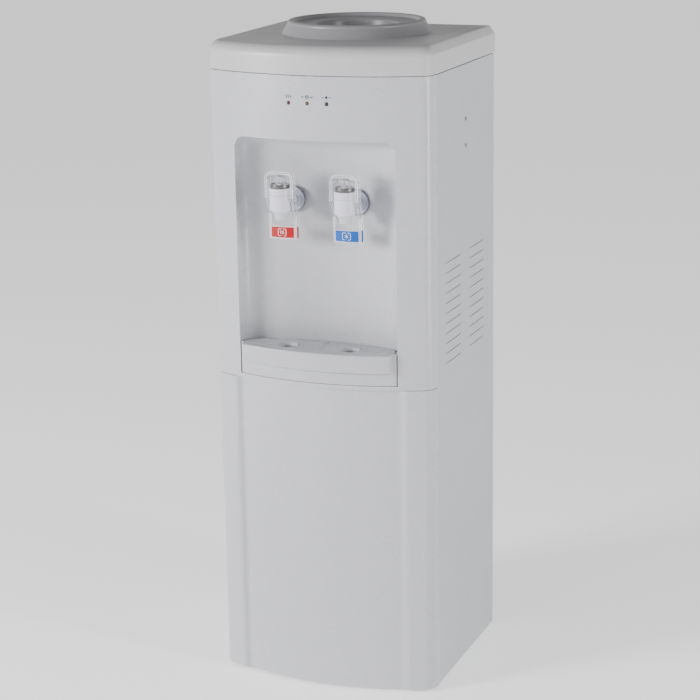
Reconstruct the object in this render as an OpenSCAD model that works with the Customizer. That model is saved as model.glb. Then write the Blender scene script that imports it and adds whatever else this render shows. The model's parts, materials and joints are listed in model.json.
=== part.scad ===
// Floor-standing top-loading hot and cold water dispenser.
// X runs to the object's right, Y to its back and Z up. The origin is on the
// floor, in the middle of the bounding box.

/* [Cabinet] */
// Width over the plastic front panels
body_w = 310; // [300:1:320]
// Front apex of the bowed front, measured from the origin
front_y = 144; // [140:1:148]
// Rear edge of the side panels, and front of the tray's grip band
back_y = 152; // [150:1:156]
// Height of the top cover's flat top
top_z = 871; // [860:1:880]
// Height of the joint between top cover and panels
cover_z = 834; // [828:1:838]
// Height of the joint between the two front panels
split_z = 425; // [420:1:427]
// Gap between the panels and the floor
floor_gap = 4; // [3:1:6]
// Radius of the bowed front in plan
bow_r = 345; // [340:5:360]
// Radius of the front corners in plan
corner_r = 20; // [18:1:22]
// Thickness of the moulded panels
wall = 3; // [2.5:0.5:3.5]
// Thickness of the sheet steel
sheet = 1; // [0.8:0.1:1.2]

/* [Dispensing bay] */
// Height of the bay's ceiling
bay_top_z = 751; // [745:1:755]
// Height of the bay's floor, under the drip tray
bay_floor_z = 431; // [430:1:433]
// Half width of the bay at its mouth
bay_mouth = 116; // [114:1:118]
// Half width of the bay at its back
bay_back = 104; // [100:1:106]
// Radius of the bay's curved back wall in plan
niche_r = 320; // [310:5:330]
// Deepest point of the back wall in front of the origin
niche_y = 84; // [82:1:86]
// Radius of the bay's upper corners
bay_corner = 18; // [15:1:20]

/* [Drip tray] */
// Height of the grille's top
tray_top_z = 474.5; // [472:0.5:476]
// Height of the lower edge of the grip band
band_z = 449; // [446:1:452]
// How far the grip band stands out
band_out = 8; // [7:0.5:8]
// Half length of the grip band
band_half = 108; // [104:1:110]
// Width of a grille slot
slot_w = 2; // [1.6:0.2:2.4]
// Distance from one grille slot to the next
slot_pitch = 4; // [3.6:0.2:5]

/* [Bottle collar] */
// Distance of the bottle's axis behind the origin
collar_y = 33; // [30:1:36]
// Radius of the collar's base
collar_r = 100; // [98:1:102]
// Height of the collar's lip
lip_z = 888; // [886:1:889]
// Radius of the throat at its mouth
throat_r = 54; // [52:1:55]
// Radius of the bottle neck's seat
neck_r = 31; // [30:0.5:33]

/* [Taps] */
// Distance of each tap from the middle
tap_x = 45; // [43:1:48]
// Distance of the tap's barrel in front of the origin
tap_y = 132.5; // [130:0.5:133]
// Radius of the barrel
barrel_r = 14.2; // [13.6:0.1:14.2]
// Height of the barrel's lower end
barrel_z = 656; // [654:1:658]
// Height of the inlet pipe's axis
inlet_z = 665; // [664:1:666]
// Height of the lever's pivot
pivot_z = 699; // [698:1:700]
// Half width of the lever
lever_half = 19.5; // [19:0.5:20]

/* [Hidden] */
$fn = 64;
fit = 0.06;
seam = 0.3;
half_w = body_w / 2;
side_x = half_w - 1.5;
bow_y = bow_r - front_y;
corner_x = half_w - corner_r;
corner_y = bow_y - sqrt(pow(bow_r - corner_r, 2) - pow(corner_x, 2));
panel_end_y = -90;
niche_cy = -niche_y - niche_r;
tray_gap = 1;
tray_wall = 2.5;
grille_t = 4.4;
boss_y = -90;
boss_back_y = -80;
pipe_end_y = -66;
pipe_r = 7;
hose_r = 6;
hose_bore = 4;
barrel_top_z = barrel_z + 31;
bonnet_z = barrel_top_z + 5;
paddle_top_z = 636;
paddle_z = 618;
pin_r = 1.5;
led_x = 26;
led_z = 799;
screw_y = 30;
screw_zs = [725, 760.7];
louver_ys = [-53.5, 45];
louver_l = 62;
louver_top_z = 586;
louver_pitch = 13.6;
louver_n = 11;
rear_y = 126;
shelf_z = 650;
tank_r = 68;
foam_r = 92;
hot_x = -tap_x;
hot_y = 25;
coil_y = 140;
coil_x = 112;
coil_z = 70;
coil_step = 36;
coil_runs = 11;
switch_x = 88;
switch_z = 760;
knob_x = -90;
drain_z = 470;

// ---- plan outlines ----

// Everything that is at least d behind the bowed front.
module bow_disc(d) {
    translate([0, bow_y]) circle(r = bow_r - d, $fn = 360);
}

// Everything that is at least d in front of the bay's back wall.
module niche_disc(d) {
    translate([0, niche_cy]) circle(r = niche_r - d, $fn = 360);
}

// Points along an arc about c, from angle a0 to a1.
function arc(c, r, a0, a1, n) = [
    for (i = [0:n]) c + r * [cos(a0 + (a1 - a0) * i / n), sin(a0 + (a1 - a0) * i / n)]
];

// The cabinet's plan, drawn in by d on every side.
module plan_outline(d) {
    a = atan2(corner_x, bow_y - corner_y);
    step = a / 18;
    polygon(concat(
        arc([-corner_x, corner_y], corner_r - d, 180, 270 - a, 8),
        arc([0, bow_y], bow_r - d, 270 - a + step, 270 + a - step, 34),
        arc([corner_x, corner_y], corner_r - d, 270 + a, 360, 8),
        [[half_w - d, back_y - d], [d - half_w, back_y - d]]
    ));
}

module front_outline(d) {
    intersection() {
        plan_outline(d);
        translate([-half_w, -200]) square([body_w, 200 + panel_end_y]);
    }
}

// The bay's plan, drawn in by d on its sides and back.
module bay_plan(d) {
    intersection() {
        niche_disc(d);
        polygon([
            [-(bay_mouth + 2 - d), -170], [bay_mouth + 2 - d, -170],
            [bay_back - d, -70], [-(bay_back - d), -70]
        ]);
    }
}

// The bay's shape seen from the front, drawn in by d, with round upper corners.
module bay_front(d) {
    w = bay_mouth + 10 - d;
    for (s = [-1, 1]) {
        translate([s * (bay_mouth - bay_corner), bay_top_z - bay_corner]) circle(r = bay_corner - d);
    }
    translate([-bay_mouth + bay_corner, bay_floor_z + d]) {
        square([2 * (bay_mouth - bay_corner), bay_top_z - bay_floor_z - 2 * d]);
    }
    translate([-w, bay_floor_z + d]) square([2 * w, bay_top_z - bay_corner - bay_floor_z - d]);
}

module bay_space(d) {
    intersection() {
        translate([0, 0, bay_floor_z - 20]) {
            linear_extrude(height = bay_top_z - bay_floor_z + 40) bay_plan(d);
        }
        rotate([90, 0, 0]) translate([0, 0, 60]) linear_extrude(height = 140) bay_front(d);
    }
}

// The drip tray's plan, drawn in by d from its outer faces.
module tray_plan(d) {
    intersection() {
        bow_disc(d);
        bay_plan(d + tray_gap);
    }
}

// ---- small helpers ----

// A cylinder along +Y from y0 to y1.
module y_rod(x, z, y0, y1, r) {
    translate([x, y0, z]) rotate([-90, 0, 0]) cylinder(r = r, h = y1 - y0);
}

// A cylinder along +X from x0 to x1.
module x_rod(y, z, x0, x1, r) {
    translate([x0, y, z]) rotate([0, 90, 0]) cylinder(r = r, h = x1 - x0);
}

// A straight tube between two points that differ along one axis only.
module segment(a, b, r) {
    d = b - a;
    if (d[0] != 0) x_rod(a[1], a[2], min(a[0], b[0]), max(a[0], b[0]), r);
    if (d[1] != 0) y_rod(a[0], a[2], min(a[1], b[1]), max(a[1], b[1]), r);
    if (d[2] != 0) translate([a[0], a[1], min(a[2], b[2])]) cylinder(r = r, h = abs(d[2]));
}

// A tube through a list of points, with a round joint at each inner point.
module pipe_run(pts, r) {
    for (i = [0:len(pts) - 2]) segment(pts[i], pts[i + 1], r);
    for (i = [1:len(pts) - 2]) translate(pts[i]) sphere(r = r);
}

module ring(r_mid, r_wire) {
    rotate_extrude() translate([r_mid, 0]) circle(r = r_wire, $fn = 24);
}

// ---- cabinet ----

module top_cover() {
    color("whitesmoke") difference() {
        translate([0, 0, cover_z + seam]) linear_extrude(height = top_z - cover_z - seam) plan_outline(0);
        translate([0, 0, cover_z - 1]) linear_extrude(height = top_z - cover_z + 1 - wall) {
            plan_outline(wall);
        }
        translate([0, collar_y, top_z - 10]) cylinder(r = throat_r + 3.5, h = 20);
    }
}

// Thin-walled ring: outer skirt, raised lip and dished seat down to the throat.
module bottle_collar() {
    t = 2.5;
    color("darkgray") translate([0, collar_y, 0]) rotate_extrude($fn = 128) polygon([
        [collar_r, top_z], [collar_r - 8, lip_z - 3], [collar_r - 10, lip_z - 0.8],
        [collar_r - 13, lip_z], [collar_r - 16, lip_z - 1], [collar_r - 18, lip_z - 3],
        [throat_r + 3, lip_z - 4], [throat_r, lip_z - 6], [throat_r - 1, lip_z - 22],
        [throat_r + 1.5, lip_z - 22], [throat_r + 2.5, lip_z - 4 - t],
        [collar_r - 20, lip_z - 3 - t], [collar_r - 14, lip_z - 1 - t],
        [collar_r - 10.8, lip_z - 1 - t], [collar_r - t, top_z]
    ]);
}

// Cone under the ring that leads the bottle's neck to its seat.
module bottle_funnel() {
    t = 2.5;
    color("darkgray") translate([0, collar_y, 0]) rotate_extrude($fn = 128) polygon([
        [throat_r - 1, lip_z - 22.1], [neck_r, lip_z - 40], [neck_r, 838], [20.3, 838],
        [20.3, 838 - t], [neck_r + t, 838 - t], [neck_r + t, lip_z - 41.5],
        [throat_r + 1.5, lip_z - 23], [throat_r + 1.5, lip_z - 22.1]
    ]);
}

// Hollow spike that opens the bottle's cap, on a slotted flange with a tube down into the tank.
module bottle_probe() {
    color("lightgray") translate([0, collar_y, 0]) difference() {
        union() {
            translate([0, 0, 838]) cylinder(r = 26, h = 3);
            translate([0, 0, 806]) cylinder(r = 20, h = 34);
            translate([0, 0, 838]) cylinder(r = 8, h = 20);
            translate([0, 0, 858]) cylinder(r1 = 8, r2 = 4, h = 6);
        }
        translate([0, 0, 805]) cylinder(r = 17.5, h = 33);
        translate([0, 0, 837]) cylinder(r = 5, h = 19);
        for (a = [0:60:300]) rotate([0, 0, a]) translate([13, 0, 837]) cylinder(r = 3, h = 5);
        for (a = [0, 90]) rotate([90, 0, a]) translate([0, 850, -10]) cylinder(r = 2.5, h = 20);
    }
}

module front_upper_panel() {
    color("gainsboro") difference() {
        upper_shell();
        for (s = [-1, 1]) y_rod(s * tap_x, inlet_z, boss_y - 1, boss_back_y + 1, pipe_r + 0.3);
        for (x = [-led_x, 0, led_x]) y_rod(x, led_z, -front_y - 10, -front_y + 10, 2.6);
    }
}

// The panel's skin with the bay's walls and the tap bosses.
module upper_shell() {
    for (s = [-1, 1]) y_rod(s * tap_x, inlet_z, boss_y, boss_back_y, 18.5);
    difference() {
        union() {
            translate([0, 0, split_z + seam]) {
                linear_extrude(height = cover_z - split_z - 2 * seam) difference() {
                    front_outline(0);
                    front_outline(wall);
                    translate([wall - half_w, panel_end_y - 1]) square([body_w - 2 * wall, 2]);
                }
            }
            intersection() {
                bay_space(-wall);
                translate([0, 0, split_z]) linear_extrude(height = 400) plan_outline(0);
            }
        }
        bay_space(0);
    }
}

// The middle of the lower panel is set back between two full-height strips.
module front_lower_panel() {
    step = 5.5;
    mid = 112;
    edge = 121;
    module skin(d) {
        difference() {
            front_outline(d);
            difference() {
                polygon([
                    [-edge, -200], [-edge, -122.5 + d], [-mid, -117 + d],
                    [-mid, -110], [mid, -110], [mid, -117 + d], [edge, -122.5 + d], [edge, -200]
                ]);
                bow_disc(step + d);
            }
        }
    }
    color("gainsboro") translate([0, 0, floor_gap]) {
        linear_extrude(height = split_z - seam - floor_gap) difference() {
            skin(0);
            skin(wall);
            translate([wall - half_w, panel_end_y - 1]) square([body_w - 2 * wall, 2]);
        }
    }
}

module louver_slots() {
    for (y = louver_ys, i = [0:louver_n - 1]) {
        translate([side_x - 5, y, louver_top_z - i * louver_pitch - 4]) cube([10, louver_l, 4]);
    }
}

// Pressed hoods over the louver slots, open downwards.
module louver_hoods() {
    out = half_w - side_x;
    for (y = louver_ys, i = [0:louver_n - 1]) {
        translate([side_x, y + louver_l, louver_top_z - i * louver_pitch]) rotate([90, 0, 0]) {
            linear_extrude(height = louver_l) {
                polygon([[-sheet, 1], [0, 1], [out, -3.4], [out, -4], [out - 0.7, -4], [-sheet, 0]]);
            }
        }
    }
}

module side_panel() {
    y0 = panel_end_y + 0.5;
    h = cover_z - seam - floor_gap;
    color("lightslategray") {
        difference() {
            union() {
                translate([side_x - sheet, y0, floor_gap]) cube([sheet, back_y - y0, h]);
                translate([side_x - 14, y0, floor_gap]) cube([14, sheet, h]);
                translate([side_x - 10, back_y - sheet, floor_gap]) cube([10, sheet, h]);
            }
            louver_slots();
            for (z = screw_zs) x_rod(screw_y, z, side_x - 5, side_x + 5, 1.8);
        }
        louver_hoods();
    }
}

module side_panel_right() {
    side_panel();
}

module side_panel_left() {
    mirror([1, 0, 0]) side_panel();
}

module rear_panel() {
    w = side_x - sheet - 0.5;
    color("lightslategray") difference() {
        union() {
            translate([-w, rear_y, 31]) cube([2 * w, sheet, cover_z - 32]);
            for (s = [-1, 1]) translate([s * (w - sheet / 2) - sheet / 2, rear_y - 12, 31]) {
                cube([sheet, 12, cover_z - 32]);
            }
        }
        y_rod(hot_x, drain_z, rear_y - 5, rear_y + 5, 7.3);
        y_rod(-100, 50, rear_y - 5, rear_y + 5, 6);
        y_rod(-coil_x, coil_z + (coil_runs - 1) * coil_step, rear_y - 5, rear_y + 5, 3.2);
        y_rod(coil_x, coil_z, rear_y - 5, rear_y + 5, 3.2);
        y_rod(knob_x, switch_z, rear_y - 5, rear_y + 5, 4);
        translate([switch_x - 25, rear_y - 5, switch_z - 14]) cube([50, 10, 28]);
        for (x = [-40, 0, 40], i = [0:7]) {
            translate([x - 14, rear_y - 5, 690 + i * 12]) cube([28, 10, 4]);
        }
    }
}

module base_plate() {
    y0 = -88;
    t = 1.5;
    color("slategray") difference() {
        translate([-151, y0, 8]) cube([302, 124 - y0, 22]);
        translate([-151 + t, y0 + t, 8 + t]) cube([302 - 2 * t, 124 - y0 - 2 * t, 30]);
        for (x = [-125, 125], y = [-70, 106]) translate([x, y, 0]) cylinder(r = 3, h = 20);
    }
}

module feet() {
    color("dimgray") for (x = [-125, 125], y = [-70, 106]) translate([x, y, 0]) {
        cylinder(r1 = 13, r2 = 15, h = 8);
        cylinder(r = 2.9, h = 12);
        translate([0, 0, 9.5]) cylinder(r = 6, h = 4);
    }
}

// Screws through the side panels and the rear panel's edges.
module panel_screws() {
    color("silver") {
        for (s = [-1, 1], z = screw_zs) mirror([s > 0 ? 0 : 1, 0, 0]) {
            x_rod(screw_y, z, side_x, half_w, 2.6);
            x_rod(screw_y, z, side_x - 10, side_x, 1.6);
        }
    }
}

// ---- drip tray ----

module drip_tray() {
    floor_t = 2.5;
    low_z = bay_floor_z + 0.3;
    seat_z = tray_top_z - grille_t;
    color("gainsboro") difference() {
        union() {
            translate([0, 0, low_z]) linear_extrude(height = tray_top_z - low_z) tray_plan(0);
            translate([0, 0, band_z]) linear_extrude(height = tray_top_z - band_z) intersection() {
                difference() {
                    bow_disc(-band_out);
                    bow_disc(tray_wall);
                }
                translate([-band_half, -180]) square([2 * band_half, 80]);
            }
        }
        translate([0, 0, low_z + floor_t]) linear_extrude(height = 60) tray_plan(tray_wall + 3);
        translate([0, 0, seat_z]) linear_extrude(height = 60) tray_plan(tray_wall);
    }
}

module drip_grille() {
    rim = 14;
    rows = 11;
    hole_y = -122;
    color("gainsboro") translate([0, 0, tray_top_z - grille_t + 0.1]) difference() {
        linear_extrude(height = grille_t - 0.2) tray_plan(tray_wall + 0.5);
        difference() {
            for (s = [-1, 1], i = [0:rows - 1]) {
                y = -93 - i * slot_pitch;
                half = 92 - max(0, 10 - i) * 0.3 - max(0, i - 8) * 6;
                translate([s > 0 ? 3 : -half, y, -1]) cube([half - 3, slot_w, 10]);
            }
            for (s = [-1, 1]) translate([s * 44, hole_y, -2]) cylinder(r = rim, h = 12);
        }
        for (s = [-1, 1]) translate([s * 44, hole_y, -2]) {
            cylinder(r = 10, h = 12);
            translate([0, 0, 4.2]) cylinder(r1 = 10, r2 = 13, h = 2.2);
        }
    }
}

// ---- lamps ----

module led(x, c) {
    color(c) {
        y_rod(x, led_z, -front_y - 0.6, -front_y + 6, 2.5);
    }
}

module led_hot() {
    led(-led_x, "darkred");
}

module led_power() {
    led(0, "orange");
}

module led_cold() {
    led(led_x, "darkgreen");
}

module led_board() {
    color("seagreen") translate([-38, -front_y + 6, led_z - 12]) cube([76, 1.6, 24]);
}

// ---- taps, each drawn about its barrel's axis ----

module at_tap(s) {
    translate([s * tap_x, -tap_y, 0]) children();
}

module tap_body() {
    pipe_l = pipe_end_y + tap_y;
    color("white") difference() {
        union() {
            translate([0, 0, barrel_z]) cylinder(r = barrel_r, h = barrel_top_z - barrel_z);
            y_rod(0, inlet_z, 0, pipe_l, pipe_r);
        }
        translate([0, 0, barrel_z + 4]) cylinder(r = 9, h = 40);
        translate([0, 0, barrel_z - 1]) cylinder(r = 4, h = 10);
        y_rod(0, inlet_z, 0, pipe_l + 1, 4.5);
        translate([0, 0, barrel_z + 21.5]) difference() {
            cylinder(r = barrel_r + 1, h = 1.2);
            translate([0, 0, -1]) cylinder(r = barrel_r - 0.8, h = 4);
        }
    }
}

module tap_spout() {
    color("aliceblue") difference() {
        union() {
            translate([0, 0, barrel_z - 11]) cylinder(r1 = 7.8, r2 = 8.8, h = 11);
            translate([0, 0, barrel_z - 2.5]) cylinder(r = 10.5, h = 2.5);
        }
        translate([0, 0, barrel_z - 12]) cylinder(r = 6, h = 13);
    }
}

// Notched ring with a plug in the barrel and two ears for the lever's pins.
module tap_bonnet() {
    color("dimgray") difference() {
        union() {
            translate([0, 0, barrel_top_z - 6]) cylinder(r = 8.95, h = 6);
            translate([0, 0, barrel_top_z]) difference() {
                cylinder(r = 12.6, h = bonnet_z - barrel_top_z);
                for (a = [0:30:330]) rotate([0, 0, a]) translate([13.8, 0, -1]) cylinder(r = 2, h = 9);
            }
            for (s = [-1, 1]) translate([s * 10.75 - 1.25, -3.5, bonnet_z]) cube([2.5, 7, pivot_z + 3.5 - bonnet_z]);
        }
        translate([0, 0, barrel_top_z - 7]) cylinder(r = 2 + fit, h = 20);
        x_rod(0, pivot_z, -15, 15, pin_r + 0.03);
    }
}

// Rod with the rubber seal below, a spring collar and a lifting head.
module tap_stem() {
    color("silver") {
        translate([0, 0, barrel_z + 4.1]) cylinder(r1 = 4.5, r2 = 5.5, h = 2);
        translate([0, 0, barrel_z + 6.1]) cylinder(r = 5.5, h = 3.5);
        translate([0, 0, barrel_z + 5]) cylinder(r = 2, h = 40);
        translate([0, 0, barrel_z + 12]) cylinder(r = 5.5, h = 1.5);
        translate([0, 0, pivot_z + 0.5]) cylinder(r = 6, h = 2);
    }
}

module tap_spring() {
    turns = 6;
    low = barrel_z + 13.5 + 0.7;
    high = barrel_top_z - 6.7;
    color("silver") for (i = [0:turns - 1]) {
        translate([0, 0, low + (high - low) * i / (turns - 1)]) ring(4, 0.7);
    }
}

// Front of the lever's paddle, gently bowed.
function paddle_y(x) = 3.5 + x * x / 130;

// Clear lever: yoke over the bonnet, a wing and a leg at each side, a paddle and a lifting tongue.
module tap_lever() {
    top = pivot_z + 9;
    bar = 2.5;
    arm_in = lever_half - 3;
    module yoke_outline(d) {
        hull() {
            for (s = [-1, 1]) translate([s * (lever_half - 9), top - 9]) circle(r = 9 - d);
            translate([d - lever_half, 672]) square([2 * (lever_half - d), 4]);
        }
    }
    color("azure", 0.5) difference() {
        union() {
            translate([0, 5, 0]) rotate([90, 0, 0]) linear_extrude(height = 10) difference() {
                yoke_outline(0);
                intersection() {
                    yoke_outline(bar);
                    translate([-arm_in, 660]) square([2 * arm_in, 60]);
                }
                translate([-arm_in, 660]) square([2 * arm_in, pivot_z - 660]);
            }
            for (s = [-1, 1]) {
                translate([s > 0 ? 14.6 : -20.4, 0, 0]) rotate([90, 0, 90]) linear_extrude(height = 5.8) {
                    polygon([[-5, 673], [6, 673], [13, 651], [4, 651]]);
                }
                translate([s > 0 ? 17 : -19.5, 0, 0]) rotate([90, 0, 90]) linear_extrude(height = 2.5) {
                    polygon([[6, 653], [12, 653], [13, 650], [13, 634], [6.5, 634], [6, paddle_top_z]]);
                }
            }
            translate([0, 0, paddle_z]) linear_extrude(height = paddle_top_z - paddle_z) polygon(concat(
                [for (x = [-19, -16, -12, -8, -4, 0, 4, 8, 12, 16, 19]) [x, paddle_y(x)]],
                [[19, 14], [-19, 14]]
            ));
            translate([-4, -5, top - bar]) cube([8, 15.5, bar]);
            translate([-4, 8, pivot_z - 2]) cube([8, 2.5, top - pivot_z + 2]);
            translate([-4, 3.5, pivot_z - 2]) cube([8, 7, 2.2]);
        }
        x_rod(0, pivot_z, -30, 30, pin_r + fit);
    }
}

module tap_label() {
    xs = [-16, -12, -8, -4, 0, 4, 8, 12, 16];
    translate([0, 0, paddle_z + 2.3]) linear_extrude(height = 13.7) polygon(concat(
        [for (x = xs) [x, paddle_y(x) - 0.8]],
        [for (i = [8:-1:0]) [xs[i], paddle_y(xs[i])]]
    ));
}

module hot_tap_body() {
    at_tap(-1) tap_body();
}

module hot_tap_spout() {
    at_tap(-1) tap_spout();
}

module hot_tap_bonnet() {
    at_tap(-1) tap_bonnet();
}

module hot_tap_stem() {
    at_tap(-1) tap_stem();
}

module hot_tap_spring() {
    at_tap(-1) tap_spring();
}

module hot_tap_lever() {
    at_tap(-1) tap_lever();
}

module hot_tap_label() {
    color("firebrick") at_tap(-1) tap_label();
}

module cold_tap_body() {
    at_tap(1) tap_body();
}

module cold_tap_spout() {
    at_tap(1) tap_spout();
}

module cold_tap_bonnet() {
    at_tap(1) tap_bonnet();
}

module cold_tap_stem() {
    at_tap(1) tap_stem();
}

module cold_tap_spring() {
    at_tap(1) tap_spring();
}

module cold_tap_lever() {
    at_tap(1) tap_lever();
}

module cold_tap_label() {
    color("royalblue") at_tap(1) tap_label();
}

module tap_escutcheons() {
    color("lightblue") for (s = [-1, 1]) difference() {
        y_rod(s * tap_x, inlet_z, boss_y - 4, boss_y, 17.5);
        y_rod(s * tap_x, inlet_z, boss_y - 5, boss_y + 1, pipe_r + 0.1);
        difference() {
            y_rod(s * tap_x, inlet_z, boss_y - 5, boss_y - 3, 14.5);
            y_rod(s * tap_x, inlet_z, boss_y - 6, boss_y - 2, 13);
        }
    }
}

module tap_pivot_pins() {
    color("silver") for (s = [-1, 1], t = [-1, 1]) at_tap(s) mirror([t > 0 ? 0 : 1, 0, 0]) {
        x_rod(0, pivot_z, 9.5, 19, pin_r);
    }
}

module tap_lock_nuts() {
    color("whitesmoke") for (s = [-1, 1]) difference() {
        translate([s * tap_x, boss_back_y, inlet_z]) rotate([-90, 0, 0]) cylinder(r = 13, h = 7, $fn = 6);
        y_rod(s * tap_x, inlet_z, boss_back_y - 1, boss_back_y + 9, pipe_r + 0.1);
    }
}

// ---- water and cooling ----

module cold_tank() {
    color("silver") translate([0, collar_y, 0]) difference() {
        translate([0, 0, 668]) cylinder(r = tank_r, h = 144, $fn = 96);
        translate([0, 0, 669]) cylinder(r = tank_r - 1, h = 150, $fn = 96);
        translate([tap_x, -collar_y + 22, 660]) cylinder(r = hose_bore, h = 20);
    }
}

module cold_tank_foam() {
    color("khaki") translate([0, collar_y, 0]) difference() {
        translate([0, 0, shelf_z + 2]) cylinder(r = foam_r, h = 160, $fn = 96);
        translate([0, 0, 668]) cylinder(r = tank_r + 7, h = 150, $fn = 96);
        translate([tap_x, -collar_y + 22, 640]) cylinder(r = hose_r + 0.5, h = 40);
        for (z = [680, 700]) x_rod(0, z, 70, 100, 3.8);
    }
}

module cold_tank_lid() {
    color("whitesmoke") translate([0, collar_y, 0]) difference() {
        translate([0, 0, 812]) cylinder(r = 84, h = 3);
        translate([0, 0, 810]) cylinder(r = 22, h = 10);
    }
}

module evaporator_coil() {
    r = 3;
    mid = tank_r + r + 0.3;
    color("peru") translate([0, collar_y, 0]) {
        for (i = [0:5]) translate([0, 0, 680 + 20 * i]) ring(mid, r);
        for (z = [680, 700]) x_rod(0, z, mid, 97, r);
    }
}

module hot_tank() {
    color("silver") translate([hot_x, hot_y, 0]) difference() {
        translate([0, 0, 515]) cylinder(r = 45, h = 115);
        translate([0, 0, 516]) cylinder(r = 44, h = 113);
        translate([0, 0, 510]) cylinder(r = 9.5, h = 10);
        translate([0, -55, 588]) rotate([-90, 0, 0]) cylinder(r = hose_bore, h = 20);
    }
}

module hot_tank_jacket() {
    color("khaki") translate([hot_x, hot_y, 0]) difference() {
        translate([0, 0, 505]) cylinder(r = 55, h = shelf_z - 505);
        translate([0, 0, 514.5]) cylinder(r = 45.5, h = 116);
        translate([0, 0, 500]) cylinder(r = 14, h = 20);
        translate([0, -60, 588]) rotate([-90, 0, 0]) cylinder(r = hose_r + 0.5, h = 25);
    }
}

// Immersion heater: a looped rod and the drain outlet on one screwed flange.
module heater_element() {
    color("dimgray") translate([hot_x, hot_y, 0]) {
        difference() {
            union() {
                translate([0, 0, 500]) cylinder(r = 13.5, h = 14.5);
                translate([0, 0, 514]) cylinder(r = 9, h = 6);
            }
            translate([0, 0, 495]) cylinder(r = 4.5, h = 30);
        }
        pipe_run([[-6.8, 0, 518], [-6.8, 0, 595], [6.8, 0, 595], [6.8, 0, 518]], 1.7);
    }
}

module hot_thermostat() {
    color("saddlebrown") translate([hot_x, hot_y + 55, 560]) {
        rotate([-90, 0, 0]) cylinder(r = 9, h = 6);
        translate([-13, 0.5, -3]) cube([26, 3, 6]);
    }
}

module thermostat_body() {
    color("gray") difference() {
        union() {
            translate([knob_x - 20, rear_y - 18, switch_z - 14]) cube([40, 16, 28]);
            y_rod(knob_x, switch_z, rear_y - 2, rear_y, 5);
        }
        y_rod(knob_x, switch_z, rear_y - 12, rear_y + 2, 3 + fit);
    }
}

module thermostat_knob() {
    color("black") {
        y_rod(knob_x, switch_z, rear_y - 10, rear_y + 4, 3);
        difference() {
            y_rod(knob_x, switch_z, rear_y + 2, rear_y + 10, 14);
            translate([knob_x - 1, rear_y + 9, switch_z + 4]) cube([2, 3, 12]);
        }
        translate([knob_x - 2.5, rear_y + 10, switch_z - 11]) cube([5, 6, 22]);
    }
}

module compressor() {
    color("black") translate([0, 30, 0]) {
        // the thick wall stands in for the motor and pump inside
        translate([0, 0, 34]) rotate_extrude($fn = 96) difference() {
            intersection() {
                square([62, 156]);
                translate([0, 78]) circle(r = 90, $fn = 96);
            }
            translate([0, 14]) square([52, 128]);
        }
        translate([-80, -55, 31]) cube([160, 110, 3]);
        x_rod(20, 90, 50, 74, 3);
        translate([-30, -78, 80]) cube([60, 25, 45]);
    }
}

module compressor_mounts() {
    color("dimgray") for (x = [-68, 68], y = [-13, 73]) translate([x, y, 9.5]) {
        cylinder(r = 9, h = 21.5);
    }
}

function coil_level(i) = coil_z + i * coil_step;

// Serpentine of level runs joined by short risers at alternate ends.
module condenser_tube() {
    last = coil_runs - 1;
    color("black") pipe_run(concat(
        [[coil_x, coil_y, coil_level(0)]],
        [for (i = [0:last - 1], k = [0, 1]) [(i % 2 == 0 ? -1 : 1) * coil_x, coil_y, coil_level(i + k)]],
        [[-coil_x, coil_y, coil_level(last)]]
    ), 2.4);
}

module condenser_wires() {
    color("black") for (x = [-84:12:84], s = [-1, 1]) {
        translate([x, coil_y + s * 3.3, coil_z - 12]) {
            cylinder(r = 0.8, h = coil_step * (coil_runs - 1) + 24, $fn = 16);
        }
    }
    color("black") for (x = [-90, 90], i = [0, coil_runs - 1]) {
        translate([x - 5, rear_y + sheet, coil_level(i) - 8]) cube([10, coil_y - rear_y - sheet - 2.6, 3]);
    }
}

module filter_drier() {
    color("peru") translate([coil_x, 108, 100]) {
        cylinder(r1 = 3, r2 = 8, h = 12);
        translate([0, 0, 12]) cylinder(r = 8, h = 66);
        translate([0, 0, 78]) cylinder(r1 = 8, r2 = 2, h = 12);
    }
}

module refrigerant_tubes() {
    top = coil_level(coil_runs - 1);
    color("peru") {
        pipe_run([[-20, 88.8, 150], [-20, 108, 150], [-coil_x, 108, 150], [-coil_x, 108, top],
            [-coil_x, coil_y - 2.5, top]], 2.4);
        pipe_run([[coil_x, coil_y - 2.5, coil_z], [coil_x, 108, coil_z], [coil_x, 108, 100]], 2.4);
        pipe_run([[coil_x, 108, 190], [coil_x, 108, 700], [coil_x, collar_y, 700], [97, collar_y, 700]], 1.5);
        pipe_run([[97.2, collar_y, 680], [103, collar_y, 680], [103, collar_y, 150], [62, collar_y, 150]], 3);
    }
}

// A quarter bend in the YZ plane about (y, z), from angle a to a + 90.
module hose_bend(x, y, z, a, r) {
    bend = 12;
    translate([x, y, z]) rotate([a, 0, 0]) rotate([90, 0, 90]) intersection() {
        ring(bend, r);
        translate([0, 0, -10]) cube([30, 30, 20]);
    }
}

module hot_hose_run(r, extra) {
    hose_bend(hot_x, pipe_end_y, inlet_z - 12, 0, r);
    translate([hot_x, pipe_end_y + 12, 600]) cylinder(r = r, h = inlet_z - 612);
    hose_bend(hot_x, pipe_end_y + 24, 600, 180, r);
    y_rod(hot_x, 588, pipe_end_y + 24, hot_y - 45 + extra, r);
}

module hot_hose() {
    color("lightgray") difference() {
        hot_hose_run(hose_r, -0.5);
        hot_hose_run(hose_bore, 1);
        translate([hot_x, pipe_end_y - 0.01, inlet_z]) cube([20, 0.02, 20], center = true);
    }
}

module cold_hose_run(r, extra) {
    hose_bend(tap_x, pipe_end_y, inlet_z - 12, 0, r);
    translate([tap_x, pipe_end_y + 12, 640]) cylinder(r = r, h = inlet_z - 652);
    hose_bend(tap_x, pipe_end_y + 24, 640, 180, r);
    y_rod(tap_x, 628, pipe_end_y + 24, 10, r);
    hose_bend(tap_x, 10, 640, 270, r);
    translate([tap_x, 22, 640]) cylinder(r = r, h = 28 + extra);
}

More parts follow.
